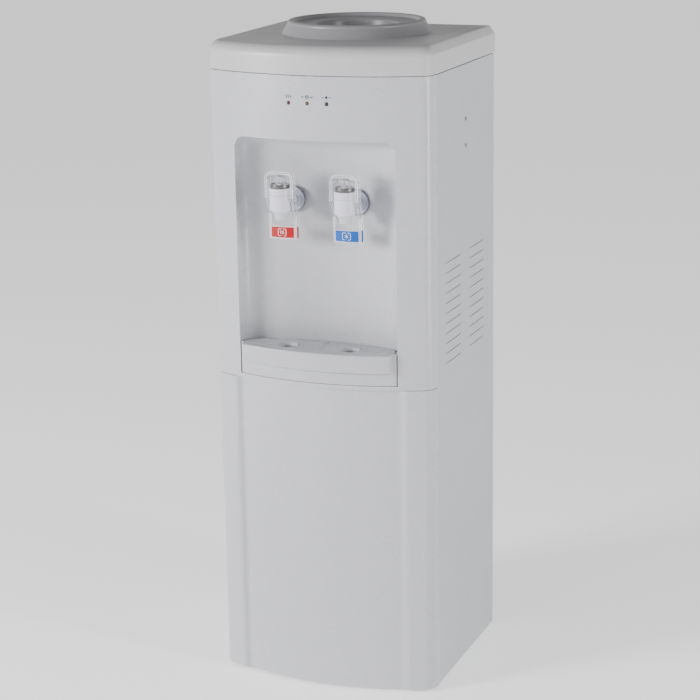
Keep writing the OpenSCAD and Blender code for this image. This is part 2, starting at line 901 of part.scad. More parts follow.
module cold_hose() {
    color("lightgray") difference() {
        cold_hose_run(hose_r, -0.2);
        cold_hose_run(hose_bore, 1);
    }
}

module tank_shelf() {
    color("lightslategray") difference() {
        union() {
            translate([-150, -46, shelf_z]) cube([300, 166, 1.5]);
            for (s = [-1, 1]) translate([s * 149.25 - 0.75, -46, shelf_z - 14]) cube([1.5, 166, 14]);
        }
        translate([tap_x, 22, shelf_z - 5]) cylinder(r = hose_r + 1, h = 10);
        translate([103, collar_y, shelf_z - 5]) cylinder(r = 4.5, h = 10);
        translate([coil_x, 108, shelf_z - 5]) cylinder(r = 3, h = 10);
    }
}

// ---- rear fittings ----

module switch_bezel() {
    color("black") difference() {
        union() {
            translate([switch_x - 28, rear_y + sheet, switch_z - 17]) cube([56, 2, 34]);
            translate([switch_x - 24.5, rear_y - 10, switch_z - 13.5]) cube([49, 13, 27]);
        }
        for (s = [-1, 1]) translate([switch_x + s * 12 - 10.5, rear_y - 8, switch_z - 12.5]) {
            cube([21, 30, 25]);
        }
    }
}

module rocker(s) {
    tilt = 8;
    translate([switch_x + s * 12, rear_y + 1, switch_z]) rotate([tilt, 0, 0]) {
        rotate([90, 0, 90]) translate([0, 0, -10]) linear_extrude(height = 20) {
            polygon([[-5, -6], [-1, -11.5], [4.5, -11.5], [3, 0], [4.5, 11.5], [-1, 11.5], [-5, 6]]);
        }
    }
}

module switch_hot() {
    color("firebrick") rocker(-1);
}

module switch_cold() {
    color("forestgreen") rocker(1);
}

module power_gland() {
    color("black") translate([-100, 0, 50]) difference() {
        union() {
            y_rod(0, 0, rear_y - 6, rear_y + 12, 5.9);
            y_rod(0, 0, rear_y + sheet, rear_y + 5, 10);
            translate([0, rear_y, 0]) rotate([90, 0, 0]) cylinder(r = 10, h = 5, $fn = 6);
        }
        y_rod(0, 0, rear_y - 10, rear_y + 20, 3.5);
    }
}

module drain_pipe() {
    color("whitesmoke") difference() {
        union() {
            translate([hot_x, hot_y, drain_z]) cylinder(r = 7, h = 30);
            translate([hot_x, hot_y, drain_z]) sphere(r = 7);
            y_rod(hot_x, drain_z, hot_y, rear_y + 10, 7);
        }
        translate([hot_x, hot_y, drain_z]) cylinder(r = 4, h = 40);
        translate([hot_x, hot_y, drain_z]) sphere(r = 4);
        y_rod(hot_x, drain_z, hot_y, rear_y + 20, 4);
    }
}

module drain_plug() {
    color("dimgray") {
        y_rod(hot_x, drain_z, rear_y + 2, rear_y + 10, 3.94);
        y_rod(hot_x, drain_z, rear_y + 10, rear_y + 14, 9);
        translate([hot_x - 2, rear_y + 14, drain_z - 7]) cube([4, 8, 14]);
    }
}

top_cover();
bottle_collar();
bottle_funnel();
bottle_probe();
front_upper_panel();
front_lower_panel();
side_panel_left();
side_panel_right();
rear_panel();
base_plate();
feet();
drip_tray();
drip_grille();
led_board();
led_hot();
led_power();
led_cold();
hot_tap_body();
hot_tap_spout();
hot_tap_bonnet();
hot_tap_stem();
hot_tap_spring();
hot_tap_lever();
hot_tap_label();
cold_tap_body();
cold_tap_spout();
cold_tap_bonnet();
cold_tap_stem();
cold_tap_spring();
cold_tap_lever();
cold_tap_label();
tap_escutcheons();
tap_pivot_pins();
tap_lock_nuts();
cold_tank();
cold_tank_foam();
cold_tank_lid();
evaporator_coil();
hot_tank();
hot_tank_jacket();
heater_element();
hot_thermostat();
thermostat_body();
thermostat_knob();
compressor();
compressor_mounts();
condenser_tube();
condenser_wires();
filter_drier();
refrigerant_tubes();
hot_hose();
cold_hose();
tank_shelf();
switch_bezel();
switch_hot();
switch_cold();
power_gland();
drain_pipe();
drain_plug();
panel_screws();
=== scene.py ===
"""Floor-standing water dispenser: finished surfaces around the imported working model."""

import json
from math import atan2, cos, degrees, pi, radians, sin, sqrt

import bmesh
import bpy
from mathutils import Matrix, Vector


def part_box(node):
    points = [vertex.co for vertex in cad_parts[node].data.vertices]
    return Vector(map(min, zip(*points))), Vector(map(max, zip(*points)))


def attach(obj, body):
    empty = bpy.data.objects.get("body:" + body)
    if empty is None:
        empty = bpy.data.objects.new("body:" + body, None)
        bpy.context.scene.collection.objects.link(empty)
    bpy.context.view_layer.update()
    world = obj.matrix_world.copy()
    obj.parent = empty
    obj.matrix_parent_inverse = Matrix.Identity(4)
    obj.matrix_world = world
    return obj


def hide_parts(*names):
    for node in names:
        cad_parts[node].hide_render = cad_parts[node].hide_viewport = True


bl_info = {
    "name": "Water Dispenser",
    "version": (1, 0, 0),
    "blender": (4, 5, 0),
    "location": "View3D > Sidebar > Dispenser",
    "description": "Models a floor-standing hot and cold water dispenser round its working frame",
    "category": "Add Mesh",
}

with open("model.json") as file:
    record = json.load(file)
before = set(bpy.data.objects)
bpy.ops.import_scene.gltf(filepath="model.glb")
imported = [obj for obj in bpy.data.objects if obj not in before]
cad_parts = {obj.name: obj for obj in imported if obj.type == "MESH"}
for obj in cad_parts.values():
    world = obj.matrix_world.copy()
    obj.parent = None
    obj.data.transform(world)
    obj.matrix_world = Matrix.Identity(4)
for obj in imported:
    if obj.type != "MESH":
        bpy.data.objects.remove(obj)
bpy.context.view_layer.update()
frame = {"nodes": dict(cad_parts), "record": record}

MM = 0.001
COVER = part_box("top_cover")
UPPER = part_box("front_upper_panel")
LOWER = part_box("front_lower_panel")
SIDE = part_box("side_panel_right")
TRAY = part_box("drip_tray")
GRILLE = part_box("drip_grille")
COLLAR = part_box("bottle_collar")

HALF_W = COVER[1][0] / MM
BACK_Y = COVER[1][1] / MM
APEX_Y = COVER[0][1] / MM
TOP_Z = COVER[1][2] / MM
COLLAR_Y = (COLLAR[0][1] + COLLAR[1][1]) / 2 / MM
BOW_R = 345.0
CORNER_R = 20.0
CORNER_X = HALF_W - CORNER_R
BOW_Y = BOW_R + APEX_Y
CORNER_Y = BOW_Y - sqrt((BOW_R - CORNER_R) ** 2 - CORNER_X ** 2)
CORNER_A = atan2(CORNER_X, BOW_Y - CORNER_Y)
PANEL_END_Y = -90.0
NICHE_R = 320.0
NICHE_Y = -84.0 - NICHE_R
WALL = 3.0
STEEL_X = 153.5
DRAIN_X, DRAIN_Y = 44, -122
LAMP_X, LAMP_Z = 26, 799
SPOUT_Z = 665
PADDLE_LOW, PADDLE_HIGH = 618, 636
PADDLE_BOW = 130
LABELS = {"hot": "label_red", "cold": "label_blue"}


# ---- sizes and colours a user would change ----

class CabinetSettings(bpy.types.PropertyGroup):
    """The cabinet's soft edges and colours"""

    cover_fillet: bpy.props.FloatProperty(
        name="Cover fillet", description="Radius of the top cover's front edge in millimetres",
        default=14.0, min=4.0, max=18.0)
    cover_side_bevel: bpy.props.FloatProperty(
        name="Cover side facet", description="Width of the facet along the cover's sides in millimetres",
        default=6.5, min=2.0, max=10.0)
    body_colour: bpy.props.FloatVectorProperty(
        name="Body", description="Colour of the moulded panels", subtype="COLOR", size=3,
        default=(0.50, 0.503, 0.535), min=0, max=1)
    cover_colour: bpy.props.FloatVectorProperty(
        name="Cover", description="Colour of the top cover", subtype="COLOR", size=3,
        default=(0.50, 0.50, 0.515), min=0, max=1)
    steel_colour: bpy.props.FloatVectorProperty(
        name="Steel", description="Colour of the painted side panels", subtype="COLOR", size=3,
        default=(0.43, 0.452, 0.475), min=0, max=1)
    collar_colour: bpy.props.FloatVectorProperty(
        name="Collar", description="Colour of the bottle collar", subtype="COLOR", size=3,
        default=(0.275, 0.27, 0.285), min=0, max=1)


class TapSettings(bpy.types.PropertyGroup):
    """The taps' places and colours"""

    spacing: bpy.props.FloatProperty(
        name="Tap offset", description="Distance of each tap from the middle in millimetres",
        default=45.0, min=40.0, max=50.0)
    axis_y: bpy.props.FloatProperty(
        name="Barrel place", description="Barrel axis behind the origin in millimetres",
        default=-132.5, min=-134.0, max=-130.0)
    hot_colour: bpy.props.FloatVectorProperty(
        name="Hot", description="Colour of the hot lever's label", subtype="COLOR", size=3,
        default=(0.42, 0.004, 0.008), min=0, max=1)
    cold_colour: bpy.props.FloatVectorProperty(
        name="Cold", description="Colour of the cold lever's label", subtype="COLOR", size=3,
        default=(0.004, 0.095, 0.42), min=0, max=1)
    print_colour: bpy.props.FloatVectorProperty(
        name="Print", description="Colour of the marks above the lamps", subtype="COLOR", size=3,
        default=(0.002, 0.012, 0.06), min=0, max=1)


class StageSettings(bpy.types.PropertyGroup):
    """The camera and the lights"""

    focal_length: bpy.props.FloatProperty(
        name="Lens", description="Focal length in millimetres on a 36 mm sensor",
        default=106.93, min=50.0, max=150.0)
    eye: bpy.props.FloatVectorProperty(
        name="Eye", description="Place of the camera", subtype="TRANSLATION", unit="LENGTH",
        default=(1.0167, -2.5643, 1.1736))
    yaw: bpy.props.FloatProperty(
        name="Yaw", description="Turn of the view to the left", subtype="ANGLE", default=radians(21.71))
    pitch: bpy.props.FloatProperty(
        name="Pitch", description="Tilt of the view downwards", subtype="ANGLE", default=radians(14.9))
    roll: bpy.props.FloatProperty(
        name="Roll", description="Roll of the view", subtype="ANGLE", default=radians(-0.94))
    key_power: bpy.props.FloatProperty(
        name="Key light", description="Power of the large light at the left", unit="POWER", default=115.0)
    fill_power: bpy.props.FloatProperty(
        name="Fill light", description="Power of the light at the right", unit="POWER", default=45.0)
    sky: bpy.props.FloatProperty(
        name="Surround", description="Strength of the white surround at the horizon", default=0.75)
    zenith: bpy.props.FloatProperty(
        name="Ceiling", description="Strength of the surround overhead", default=0.20)
    right: bpy.props.FloatProperty(
        name="Right side", description="Share of the surround that is left at the right", default=0.5)
    glow: bpy.props.FloatProperty(
        name="Floor glow", description="Light that the pale floor gives of its own", default=0.8)


# ---- modelling, in millimetres ----

FINISHES = {}

PLANES = {
    "XY": lambda u, v, w: (u, v, w),
    "XZ": lambda u, v, w: (u, w, v),
    "YZ": lambda u, v, w: (w, u, v),
}


def deselect():
    bpy.ops.object.select_all(action="DESELECT")


def only(piece):
    deselect()
    piece.select_set(True)
    bpy.context.view_layer.objects.active = piece


def named(name):
    piece = bpy.context.active_object
    piece.name = name
    piece.data.name = name
    return piece


def arc(u, v, r, start, end, steps):
    """Points along an arc about (u, v), angles in degrees."""
    turn = [radians(start + (end - start) * i / steps) for i in range(steps + 1)]
    return [(u + r * cos(a), v + r * sin(a)) for a in turn]


def settle(piece):
    """Merge doubles and turn the faces outwards."""
    only(piece)
    bpy.ops.object.mode_set(mode="EDIT")
    bpy.ops.mesh.select_all(action="SELECT")
    bpy.ops.mesh.remove_doubles(threshold=0.00001)
    bpy.ops.mesh.normals_make_consistent(inside=False)
    bpy.ops.object.mode_set(mode="OBJECT")
    return piece


def prism(name, outline, low, high, plane="XY"):
    """A flat outline drawn on a plane and extruded from low to high along its normal."""
    deselect()
    bpy.ops.mesh.primitive_circle_add(vertices=len(outline), radius=0.1, fill_type="NGON")
    piece = named(name)
    place = PLANES[plane]
    for vertex, (u, v) in zip(piece.data.vertices, outline):
        vertex.co = Vector(place(u, v, low)) * MM
    bpy.ops.object.mode_set(mode="EDIT")
    bpy.ops.mesh.select_all(action="SELECT")
    rise = Vector(place(0, 0, high - low)) * MM
    bpy.ops.mesh.extrude_region_move(TRANSFORM_OT_translate={"value": rise})
    bpy.ops.object.mode_set(mode="OBJECT")
    return settle(piece)


def block(name, low, high):
    """A box between two corners, drawn as its plan and raised."""
    (x0, y0, z0), (x1, y1, z1) = low, high
    return prism(name, [(x0, y0), (x1, y0), (x1, y1), (x0, y1)], z0, z1)


def stack(name, rings):
    """Matching outlines of (x, y, z) points joined one after another, with a face over each end."""
    count = len(rings[0])
    rise = 0.01
    deselect()
    bpy.ops.mesh.primitive_circle_add(vertices=count, radius=0.1, fill_type="NGON")
    piece = named(name)
    bpy.ops.object.mode_set(mode="EDIT")
    bpy.ops.mesh.select_all(action="SELECT")
    for _ in rings[1:]:
        bpy.ops.mesh.extrude_region_move(TRANSFORM_OT_translate={"value": (0, 0, rise)})
    bpy.ops.object.mode_set(mode="OBJECT")
    first = piece.data.vertices[0].co
    start = atan2(first.y, first.x)
    second = piece.data.vertices[1].co
    step = (atan2(second.y, second.x) - start + pi) % (2 * pi) - pi
    for vertex in piece.data.vertices:
        turn = (atan2(vertex.co.y, vertex.co.x) - start) / step
        level = round(vertex.co.z / rise)
        vertex.co = Vector(rings[level][round(turn) % count]) * MM
    return settle(piece)


def turned(name, profile, centre, axis="Z", steps=64, closed=True):
    """A profile of (radius, height) points spun round an axis through centre."""
    deselect()
    bpy.ops.mesh.primitive_circle_add(vertices=len(profile), radius=0.1, fill_type="NOTHING")
    piece = named(name)
    along = Vector({"X": (1, 0, 0), "Y": (0, 1, 0), "Z": (0, 0, 1)}[axis])
    out = Vector((0, 1, 0)) if axis == "X" else Vector((1, 0, 0))
    base = Vector(centre)
    for vertex, (r, h) in zip(piece.data.vertices, profile):
        vertex.co = (base + out * r + along * h) * MM
    if not closed:
        for vertex in piece.data.vertices:
            vertex.select = False
        for edge in piece.data.edges:
            edge.select = set(edge.vertices) == {0, len(profile) - 1}
        bpy.context.tool_settings.mesh_select_mode = (False, True, False)
        bpy.ops.object.mode_set(mode="EDIT")
        bpy.ops.mesh.delete(type="EDGE")
        bpy.ops.object.mode_set(mode="OBJECT")
    bpy.ops.object.mode_set(mode="EDIT")
    bpy.ops.mesh.select_all(action="SELECT")
    bpy.ops.mesh.spin(steps=steps, angle=2 * pi, center=base * MM, axis=along)
    bpy.ops.object.mode_set(mode="OBJECT")
    return settle(piece)


def combine(piece, tool, operation):
    """Cut, join or intersect a piece with a tool, which is used up."""
    change = piece.modifiers.new("Combine", "BOOLEAN")
    change.operation = operation
    change.solver = "EXACT"
    change.object = tool
    only(piece)
    bpy.ops.object.modifier_apply(modifier=change.name)
    bpy.data.objects.remove(tool)
    return piece


def cut(piece, tool):
    return combine(piece, tool, "DIFFERENCE")


def weld(piece, tool):
    return combine(piece, tool, "UNION")


def round_edges(piece, chosen, width, segments=4):
    """Bevel the edges for which chosen(start, end, angle) is true, in millimetres and degrees."""
    shape = bmesh.new()
    shape.from_mesh(piece.data)
    angles = [degrees(e.calc_face_angle(0)) if len(e.link_faces) == 2 else 0 for e in shape.edges]
    shape.free()
    mesh = piece.data
    for item in (*mesh.vertices, *mesh.polygons):
        item.select = False
    for edge in mesh.edges:
        a, b = (mesh.vertices[i].co / MM for i in edge.vertices)
        edge.select = angles[edge.index] > 20 and chosen(a, b, angles[edge.index])
    only(piece)
    bpy.context.tool_settings.mesh_select_mode = (False, True, False)
    bpy.ops.object.mode_set(mode="EDIT")
    bpy.ops.mesh.bevel(offset=width * MM, segments=segments, affect="EDGES", clamp_overlap=True)
    bpy.ops.object.mode_set(mode="OBJECT")
    return piece


def soften(piece, width, segments=2, angle=40):
    """Bevel every edge sharper than the angle."""
    bevel = piece.modifiers.new("Soften", "BEVEL")
    bevel.limit_method = "ANGLE"
    bevel.angle_limit = radians(angle)
    bevel.width = width * MM
    bevel.segments = segments
    only(piece)
    bpy.ops.object.modifier_apply(modifier=bevel.name)
    return piece


def together(name, pieces):
    """Join separate shells into one piece."""
    deselect()
    for piece in pieces:
        piece.select_set(True)
    bpy.context.view_layer.objects.active = pieces[0]
    if len(pieces) > 1:
        bpy.ops.object.join()
    return named(name)


def mirrored_copy(piece, name):
    """A copy with its own mesh, mirrored across the middle."""
    twin = piece.copy()
    twin.data = piece.data.copy()
    twin.name = name
    twin.data.name = name
    bpy.context.scene.collection.objects.link(twin)
    twin.data.transform(Matrix.Scale(-1, 4, (1, 0, 0)))
    return settle(twin)


def complete(piece, body, slot, replaced=(), smooth=32, look=None):
    """Shade a piece, give it its slot's finish or another look, and hand it to its body."""
    only(piece)
    bpy.ops.object.shade_smooth_by_angle(angle=radians(smooth))
    even = piece.modifiers.new("Even normals", "WEIGHTED_NORMAL")
    even.keep_sharp = True
    bpy.ops.object.modifier_apply(modifier=even.name)
    piece.data.materials.clear()
    piece.data.materials.append(FINISHES[look or slot])
    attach(piece, body)
    if replaced:
        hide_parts(*replaced)
    return piece


# ---- the cabinet's plan ----

def plan(d, end_y=None):
    """The cabinet's plan drawn in by d, from the left rear corner round the front to the right."""
    end = BACK_Y - d if end_y is None else end_y
    a = degrees(CORNER_A)
    step = a / 30
    return (
        [(d - HALF_W, end)]
        + arc(-CORNER_X, CORNER_Y, CORNER_R - d, 180, 270 - a, 12)
        + arc(0, BOW_Y, BOW_R - d, 270 - a + step, 270 + a - step, 58)
        + arc(CORNER_X, CORNER_Y, CORNER_R - d, 270 + a, 360, 12)
        + [(HALF_W - d, end)]
    )


def bow_y(x, d=0.0):
    """Where the bowed front, drawn in by d, lies at x."""
    return BOW_Y - sqrt((BOW_R - d) ** 2 - x * x)


def spread(low, high, steps):
    return [low + (high - low) * i / steps for i in range(steps + 1)]


BAY_FLOOR, BAY_TOP = 431.0, 751.0
BAY_HALF, BAY_HALF_Y = 118, -170
BAY_ROUND = 16.0
BAY_CORNER = 20.0
BAY_TAPER = 0.14
BAY_SLOPE = sqrt(1 + BAY_TAPER ** 2)


def bay_side(y, d=0.0):
    """Half width of the bay at y, drawn in by d."""
    return BAY_HALF - BAY_TAPER * (y - BAY_HALF_Y) - d * BAY_SLOPE


def bay_corner():
    """Centre of the bay's upright rear corner, tangent to its side and its back wall."""
    inward = Vector((-1, -BAY_TAPER)) / BAY_SLOPE
    start = Vector((BAY_HALF, BAY_HALF_Y)) + inward * BAY_CORNER - Vector((0, NICHE_Y))
    along = Vector((-BAY_TAPER, 1)) / BAY_SLOPE
    b = start.dot(along)
    reach = sqrt(b * b - start.length_squared + (NICHE_R - BAY_CORNER) ** 2) - b
    return start + along * reach + Vector((0, NICHE_Y))


def bay_ring(d, z, front_inset):
    """The bay's plan drawn in by d, ending at the bowed front, or well ahead of it."""
    centre = bay_corner()
    lean = degrees(atan2(BAY_TAPER, 1))
    wall = degrees(atan2(centre.y - NICHE_Y, centre.x))
    right = arc(centre.x, centre.y, BAY_CORNER - d, lean, wall, 8)
    back = arc(0, NICHE_Y, NICHE_R - d, wall, 180 - wall, 30)[1:-1]
    left = [(-x, y) for x, y in right[::-1]]
    if front_inset is not None:
        x = bay_side(-125, d)
        for _ in range(4):
            x = bay_side(bow_y(x, front_inset), d)
        front = [(u, bow_y(u, front_inset)) for u in spread(-x, x, 24)]
    else:
        front = [(-bay_side(-165, d), -165), (bay_side(-165, d), -165)]
    return [(x, y, z) for x, y in front + right + back + left]


def bay_levels(grow, front_inset):
    """The bay from its floor up to its rounded ceiling, drawn in by grow all over."""
    r = BAY_ROUND - grow
    top = BAY_TOP - grow
    rings = [bay_ring(grow, BAY_FLOOR + grow, front_inset)]
    for i in range(9):
        t = pi / 2 * i / 8 * 0.985
        rings.append(bay_ring(grow + r * (1 - cos(t)), top - r * (1 - sin(t)), front_inset))
    return rings


# ---- finishes ----

def group_node(name, inputs, outputs):
    """An empty node group with the named float, vector or colour sockets."""
    kinds = {"f": "NodeSocketFloat", "v": "NodeSocketVector", "c": "NodeSocketColor"}
    group = bpy.data.node_groups.new(name, "ShaderNodeTree")
    for label, kind, value in inputs:
        socket = group.interface.new_socket(name=label, in_out="INPUT", socket_type=kinds[kind])
        if value is not None:
            socket.default_value = value
    for label, kind in outputs:
        group.interface.new_socket(name=label, in_out="OUTPUT", socket_type=kinds[kind])
    return group, group.nodes.new("NodeGroupInput"), group.nodes.new("NodeGroupOutput")


def set_inputs(tree, node, inputs):
    """Set each named input to a value, or link it to another node's output."""
    for label, value in inputs.items():
        if isinstance(value, bpy.types.NodeSocket):
            tree.links.new(value, node.inputs[label])
        else:
            node.inputs[label].default_value = value


def add_node(tree, kind, inputs):
    node = tree.nodes.new("ShaderNode" + kind)
    set_inputs(tree, node, inputs)
    return node


def noise(tree, vector, scale, detail=2.0, rough=0.5):
    return add_node(tree, "TexNoise", {
        "Detail": detail, "Roughness": rough, "Scale": scale, "Vector": vector}).outputs["Fac"]


def product(tree, kind, first, second):
    """Multiply two outputs, with a Math or a VectorMath node."""
    node = tree.nodes.new("ShaderNode" + kind)
    node.operation = "MULTIPLY"
    tree.links.new(first, node.inputs[0])
    tree.links.new(second, node.inputs[1])
    return node.outputs[0]


def moulded_group():
    """Fine moulded grain, with slow changes of sheen and tone."""
    group, source, result = group_node("Moulded surface", [
        ("Vector", "v", None), ("Grain", "f", 900.0)], [("Height", "f"), ("Sheen", "f"), ("Tone", "f")])
    vector = source.outputs["Vector"]
    set_inputs(group, result, {
        "Height": noise(group, vector, source.outputs["Grain"], 3.0),
        "Sheen": noise(group, vector, 14.0, 4.0, 0.6),
        "Tone": noise(group, vector, 3.2, 2.0)})
    return group


def brushed_group():
    """Long fine lines along one axis, for drawn and brushed metal."""
    group, source, result = group_node("Drawn metal", [
        ("Vector", "v", None), ("Stretch", "v", (4.0, 4.0, 900.0))],
        [("Height", "f"), ("Sheen", "f"), ("Tone", "f")])
    vector = source.outputs["Vector"]
    scaled = product(group, "VectorMath", vector, source.outputs["Stretch"])
    lines = noise(group, scaled, 1.0, 4.0, 0.65)
    set_inputs(group, result, {
        "Height": lines, "Sheen": lines, "Tone": noise(group, vector, 6.0, 3.0)})
    return group


GROUPS = {}


def surface_group(kind):
    if kind not in GROUPS:
        GROUPS[kind] = {"moulded": moulded_group, "drawn": brushed_group}[kind]()
    return GROUPS[kind]


def scaled_range(tree, value, low, high):
    """Map a noise value, mostly between 0.3 and 0.7, to a range."""
    return add_node(tree, "MapRange", {
        "From Min": 0.3, "From Max": 0.7, "To Min": low, "To Max": high,
        "Value": value}).outputs["Result"]


def finish(name, colour, roughness, kind="moulded", grain=900.0, bump=0.04, tone=0.03, metallic=0.0,
           coat=0.0, coat_roughness=0.08, specular=0.5, stretch=None, alpha=1.0, subsurface=0.0):
    """A finish with grain, uneven sheen and a slight change of tone."""
    material = bpy.data.materials.new(name)
    material.use_nodes = True
    tree = material.node_tree
    shader = tree.nodes["Principled BSDF"]
    surface = tree.nodes.new("ShaderNodeGroup")
    surface.node_tree = surface_group(kind)
    place = tree.nodes.new("ShaderNodeTexCoord").outputs["Object"]
    set_inputs(tree, surface, {"Vector": place})
    if kind == "moulded":
        set_inputs(tree, surface, {"Grain": grain})
    if stretch:
        set_inputs(tree, surface, {"Stretch": stretch})
    mix = tree.nodes.new("ShaderNodeMix")
    mix.data_type = "RGBA"
    set_inputs(tree, mix, {
        "A": (*[c * (1 - tone) for c in colour], 1),
        "B": (*[min(1, c * (1 + tone)) for c in colour], 1),
        "Factor": scaled_range(tree, surface.outputs["Tone"], 0, 1)})
    relief = add_node(tree, "Bump", {
        "Strength": bump, "Distance": 0.0004, "Height": surface.outputs["Height"]})
    set_inputs(tree, shader, {
        "Base Color": mix.outputs["Result"],
        "Roughness": scaled_range(tree, surface.outputs["Sheen"], roughness * 0.85, roughness * 1.15),
        "Normal": relief.outputs["Normal"], "Metallic": metallic, "Specular IOR Level": specular,
        "Coat Weight": coat, "Coat Roughness": coat_roughness,
        "Subsurface Weight": subsurface, "Subsurface Scale": 0.004, "Alpha": alpha})
    return material


def clear_finish(name, colour, facing, edge, roughness=0.06):
    """Thin clear plastic: nearly open face on, whiter towards its edges; its faint tint is its own, the
    whitening at grazing angles is a painted reflection.
    """
    material = finish(name, colour, roughness, grain=60.0, bump=0.02, tone=0.01)
    tree = material.node_tree
    shader = tree.nodes["Principled BSDF"]
    # Opacity rises towards grazing angles, so the pale colour paints in the reflection along the edges.
    weight = add_node(tree, "LayerWeight", {"Blend": 0.35})
    fade = add_node(tree, "MapRange", {
        "To Min": facing, "To Max": edge, "Value": weight.outputs["Facing"]})
    set_inputs(tree, shader, {"Alpha": fade.outputs["Result"]})
    return material


def make_finishes():
    cabinet = bpy.context.scene.dispenser_cabinet
    taps = bpy.context.scene.dispenser_taps
    body = tuple(cabinet.body_colour)
    FINISHES.update({
        "body_plastic": finish("Body plastic", body, 0.27, bump=0.05, tone=0.012),
        "cover_plastic": finish("Cover plastic", tuple(cabinet.cover_colour), 0.34, bump=0.015, tone=0.01,
                                specular=0.35),
        "collar_plastic": finish("Collar plastic", tuple(cabinet.collar_colour), 0.36, bump=0.03, tone=0.02),
        "tray_plastic": finish("Tray plastic", tuple(c * 0.97 for c in body), 0.38, bump=0.06, tone=0.015),
        "painted_steel": finish("Painted steel", tuple(cabinet.steel_colour), 0.36, grain=420.0, bump=0.08,
                                tone=0.015, coat=0.25, coat_roughness=0.25),
        "galvanised": finish("Galvanised steel", (0.50, 0.52, 0.54), 0.42, "drawn", bump=0.06, tone=0.08,
                             metallic=1.0, stretch=(30.0, 30.0, 60.0)),
        "stainless": finish("Stainless steel", (0.62, 0.62, 0.63), 0.28, "drawn", bump=0.05, tone=0.03,
                            metallic=1.0),
        "tap_white": finish("Tap white", (0.70, 0.70, 0.78), 0.28, bump=0.02, tone=0.01, subsurface=0.05),
        "tap_clear": clear_finish("Clear plastic", (0.84, 0.86, 0.90), 0.04, 0.5),
        "tap_frosted": finish("Frosted plastic", (0.70, 0.71, 0.74), 0.25, bump=0.03, tone=0.02,
                              alpha=0.6),
        "tap_dark": finish("Dark ring", (0.14, 0.14, 0.135), 0.28, bump=0.05, metallic=0.6),
        "label_red": finish("Hot label", tuple(taps.hot_colour), 0.35, bump=0.02, tone=0.03, specular=0.3),
        "label_blue": finish("Cold label", tuple(taps.cold_colour), 0.35, bump=0.02, tone=0.03, specular=0.3),
        "lens_red": finish("Red lens", (0.05, 0.002, 0.004), 0.3, bump=0.01),
        "lens_amber": finish("Amber lens", (0.06, 0.05, 0.006), 0.3, bump=0.01),
        "lens_green": finish("Green lens", (0.004, 0.02, 0.014), 0.3, bump=0.01),
        "circuit_board": finish("Circuit board", (0.02, 0.16, 0.07), 0.4, grain=250.0, bump=0.1, tone=0.15),
        "black_plastic": finish("Black plastic", (0.02, 0.02, 0.022), 0.4, grain=700.0, bump=0.1),
        "black_paint": finish("Black paint", (0.015, 0.015, 0.017), 0.25, grain=300.0, bump=0.08, coat=0.4),
        "rocker_red": finish("Red rocker", (0.55, 0.02, 0.015), 0.2, bump=0.02),
        "rocker_green": finish("Green rocker", (0.02, 0.32, 0.07), 0.2, bump=0.02),
        "rubber_black": finish("Rubber", (0.025, 0.025, 0.025), 0.75, grain=500.0, bump=0.2),
        "silicone": finish("Silicone", (0.68, 0.68, 0.65), 0.45, bump=0.03, subsurface=0.2),
        "foam": finish("Foam", (0.72, 0.62, 0.38), 0.85, grain=220.0, bump=0.6, tone=0.12),
        "copper": finish("Copper", (0.72, 0.38, 0.25), 0.3, "drawn", bump=0.04, tone=0.1, metallic=1.0),
    })
    hot, cold = tuple(taps.hot_colour), tuple(taps.cold_colour)
    FINISHES.update({
        # Near-white finish for the painted highlights on the clear lever's edges.
        "edge": finish("Painted highlight edge", (0.95, 0.95, 0.97), 0.2, bump=0.01, tone=0.01),
        # Dark grey, part-clear finish: painted shade for the dark edges of the clear wings and for the gap
        # round each rose.
        "painted_shade_edge": finish("Painted shade edge", (0.30, 0.30, 0.34), 0.25, bump=0.01, tone=0.02, alpha=0.55),
        "hot_border": finish("Hot border", tuple(0.70 + 0.30 * c for c in hot), 0.25, bump=0.01, alpha=0.75),
        "cold_border": finish("Cold border", tuple(0.62 + 0.38 * c for c in cold), 0.25,
                              bump=0.01, alpha=0.75),
        # Darker and bluer than the white tap: painted shade, as the white rose sits in the shade of its tap.
        "tap_rose": finish("Shaded rose", (0.40, 0.42, 0.52), 0.22, bump=0.02, tone=0.02),
    })
    FINISHES["print"] = finish("Blue print", tuple(taps.print_colour), 0.4, bump=0.02)
    FINISHES["white_print"] = finish("White print", (0.80, 0.80, 0.80), 0.4, bump=0.02)


def dress_frame():
    """Give every working node the finish of its slot."""
    slots = {s["node"]: s["material_slot"] for s in frame["record"]["subparts"]}
    for name, node in frame["nodes"].items():
        node.data.materials.clear()
        node.data.materials.append(FINISHES[slots[name]])


# ---- pieces ----

class DISPENSER_OT_finishes(bpy.types.Operator):
    """Make the finishes and dress the working frame in them"""

    bl_idname = "dispenser.finishes"
    bl_label = "Finishes"

    def execute(self, context):
        make_finishes()
        dress_frame()
        return {"FINISHED"}


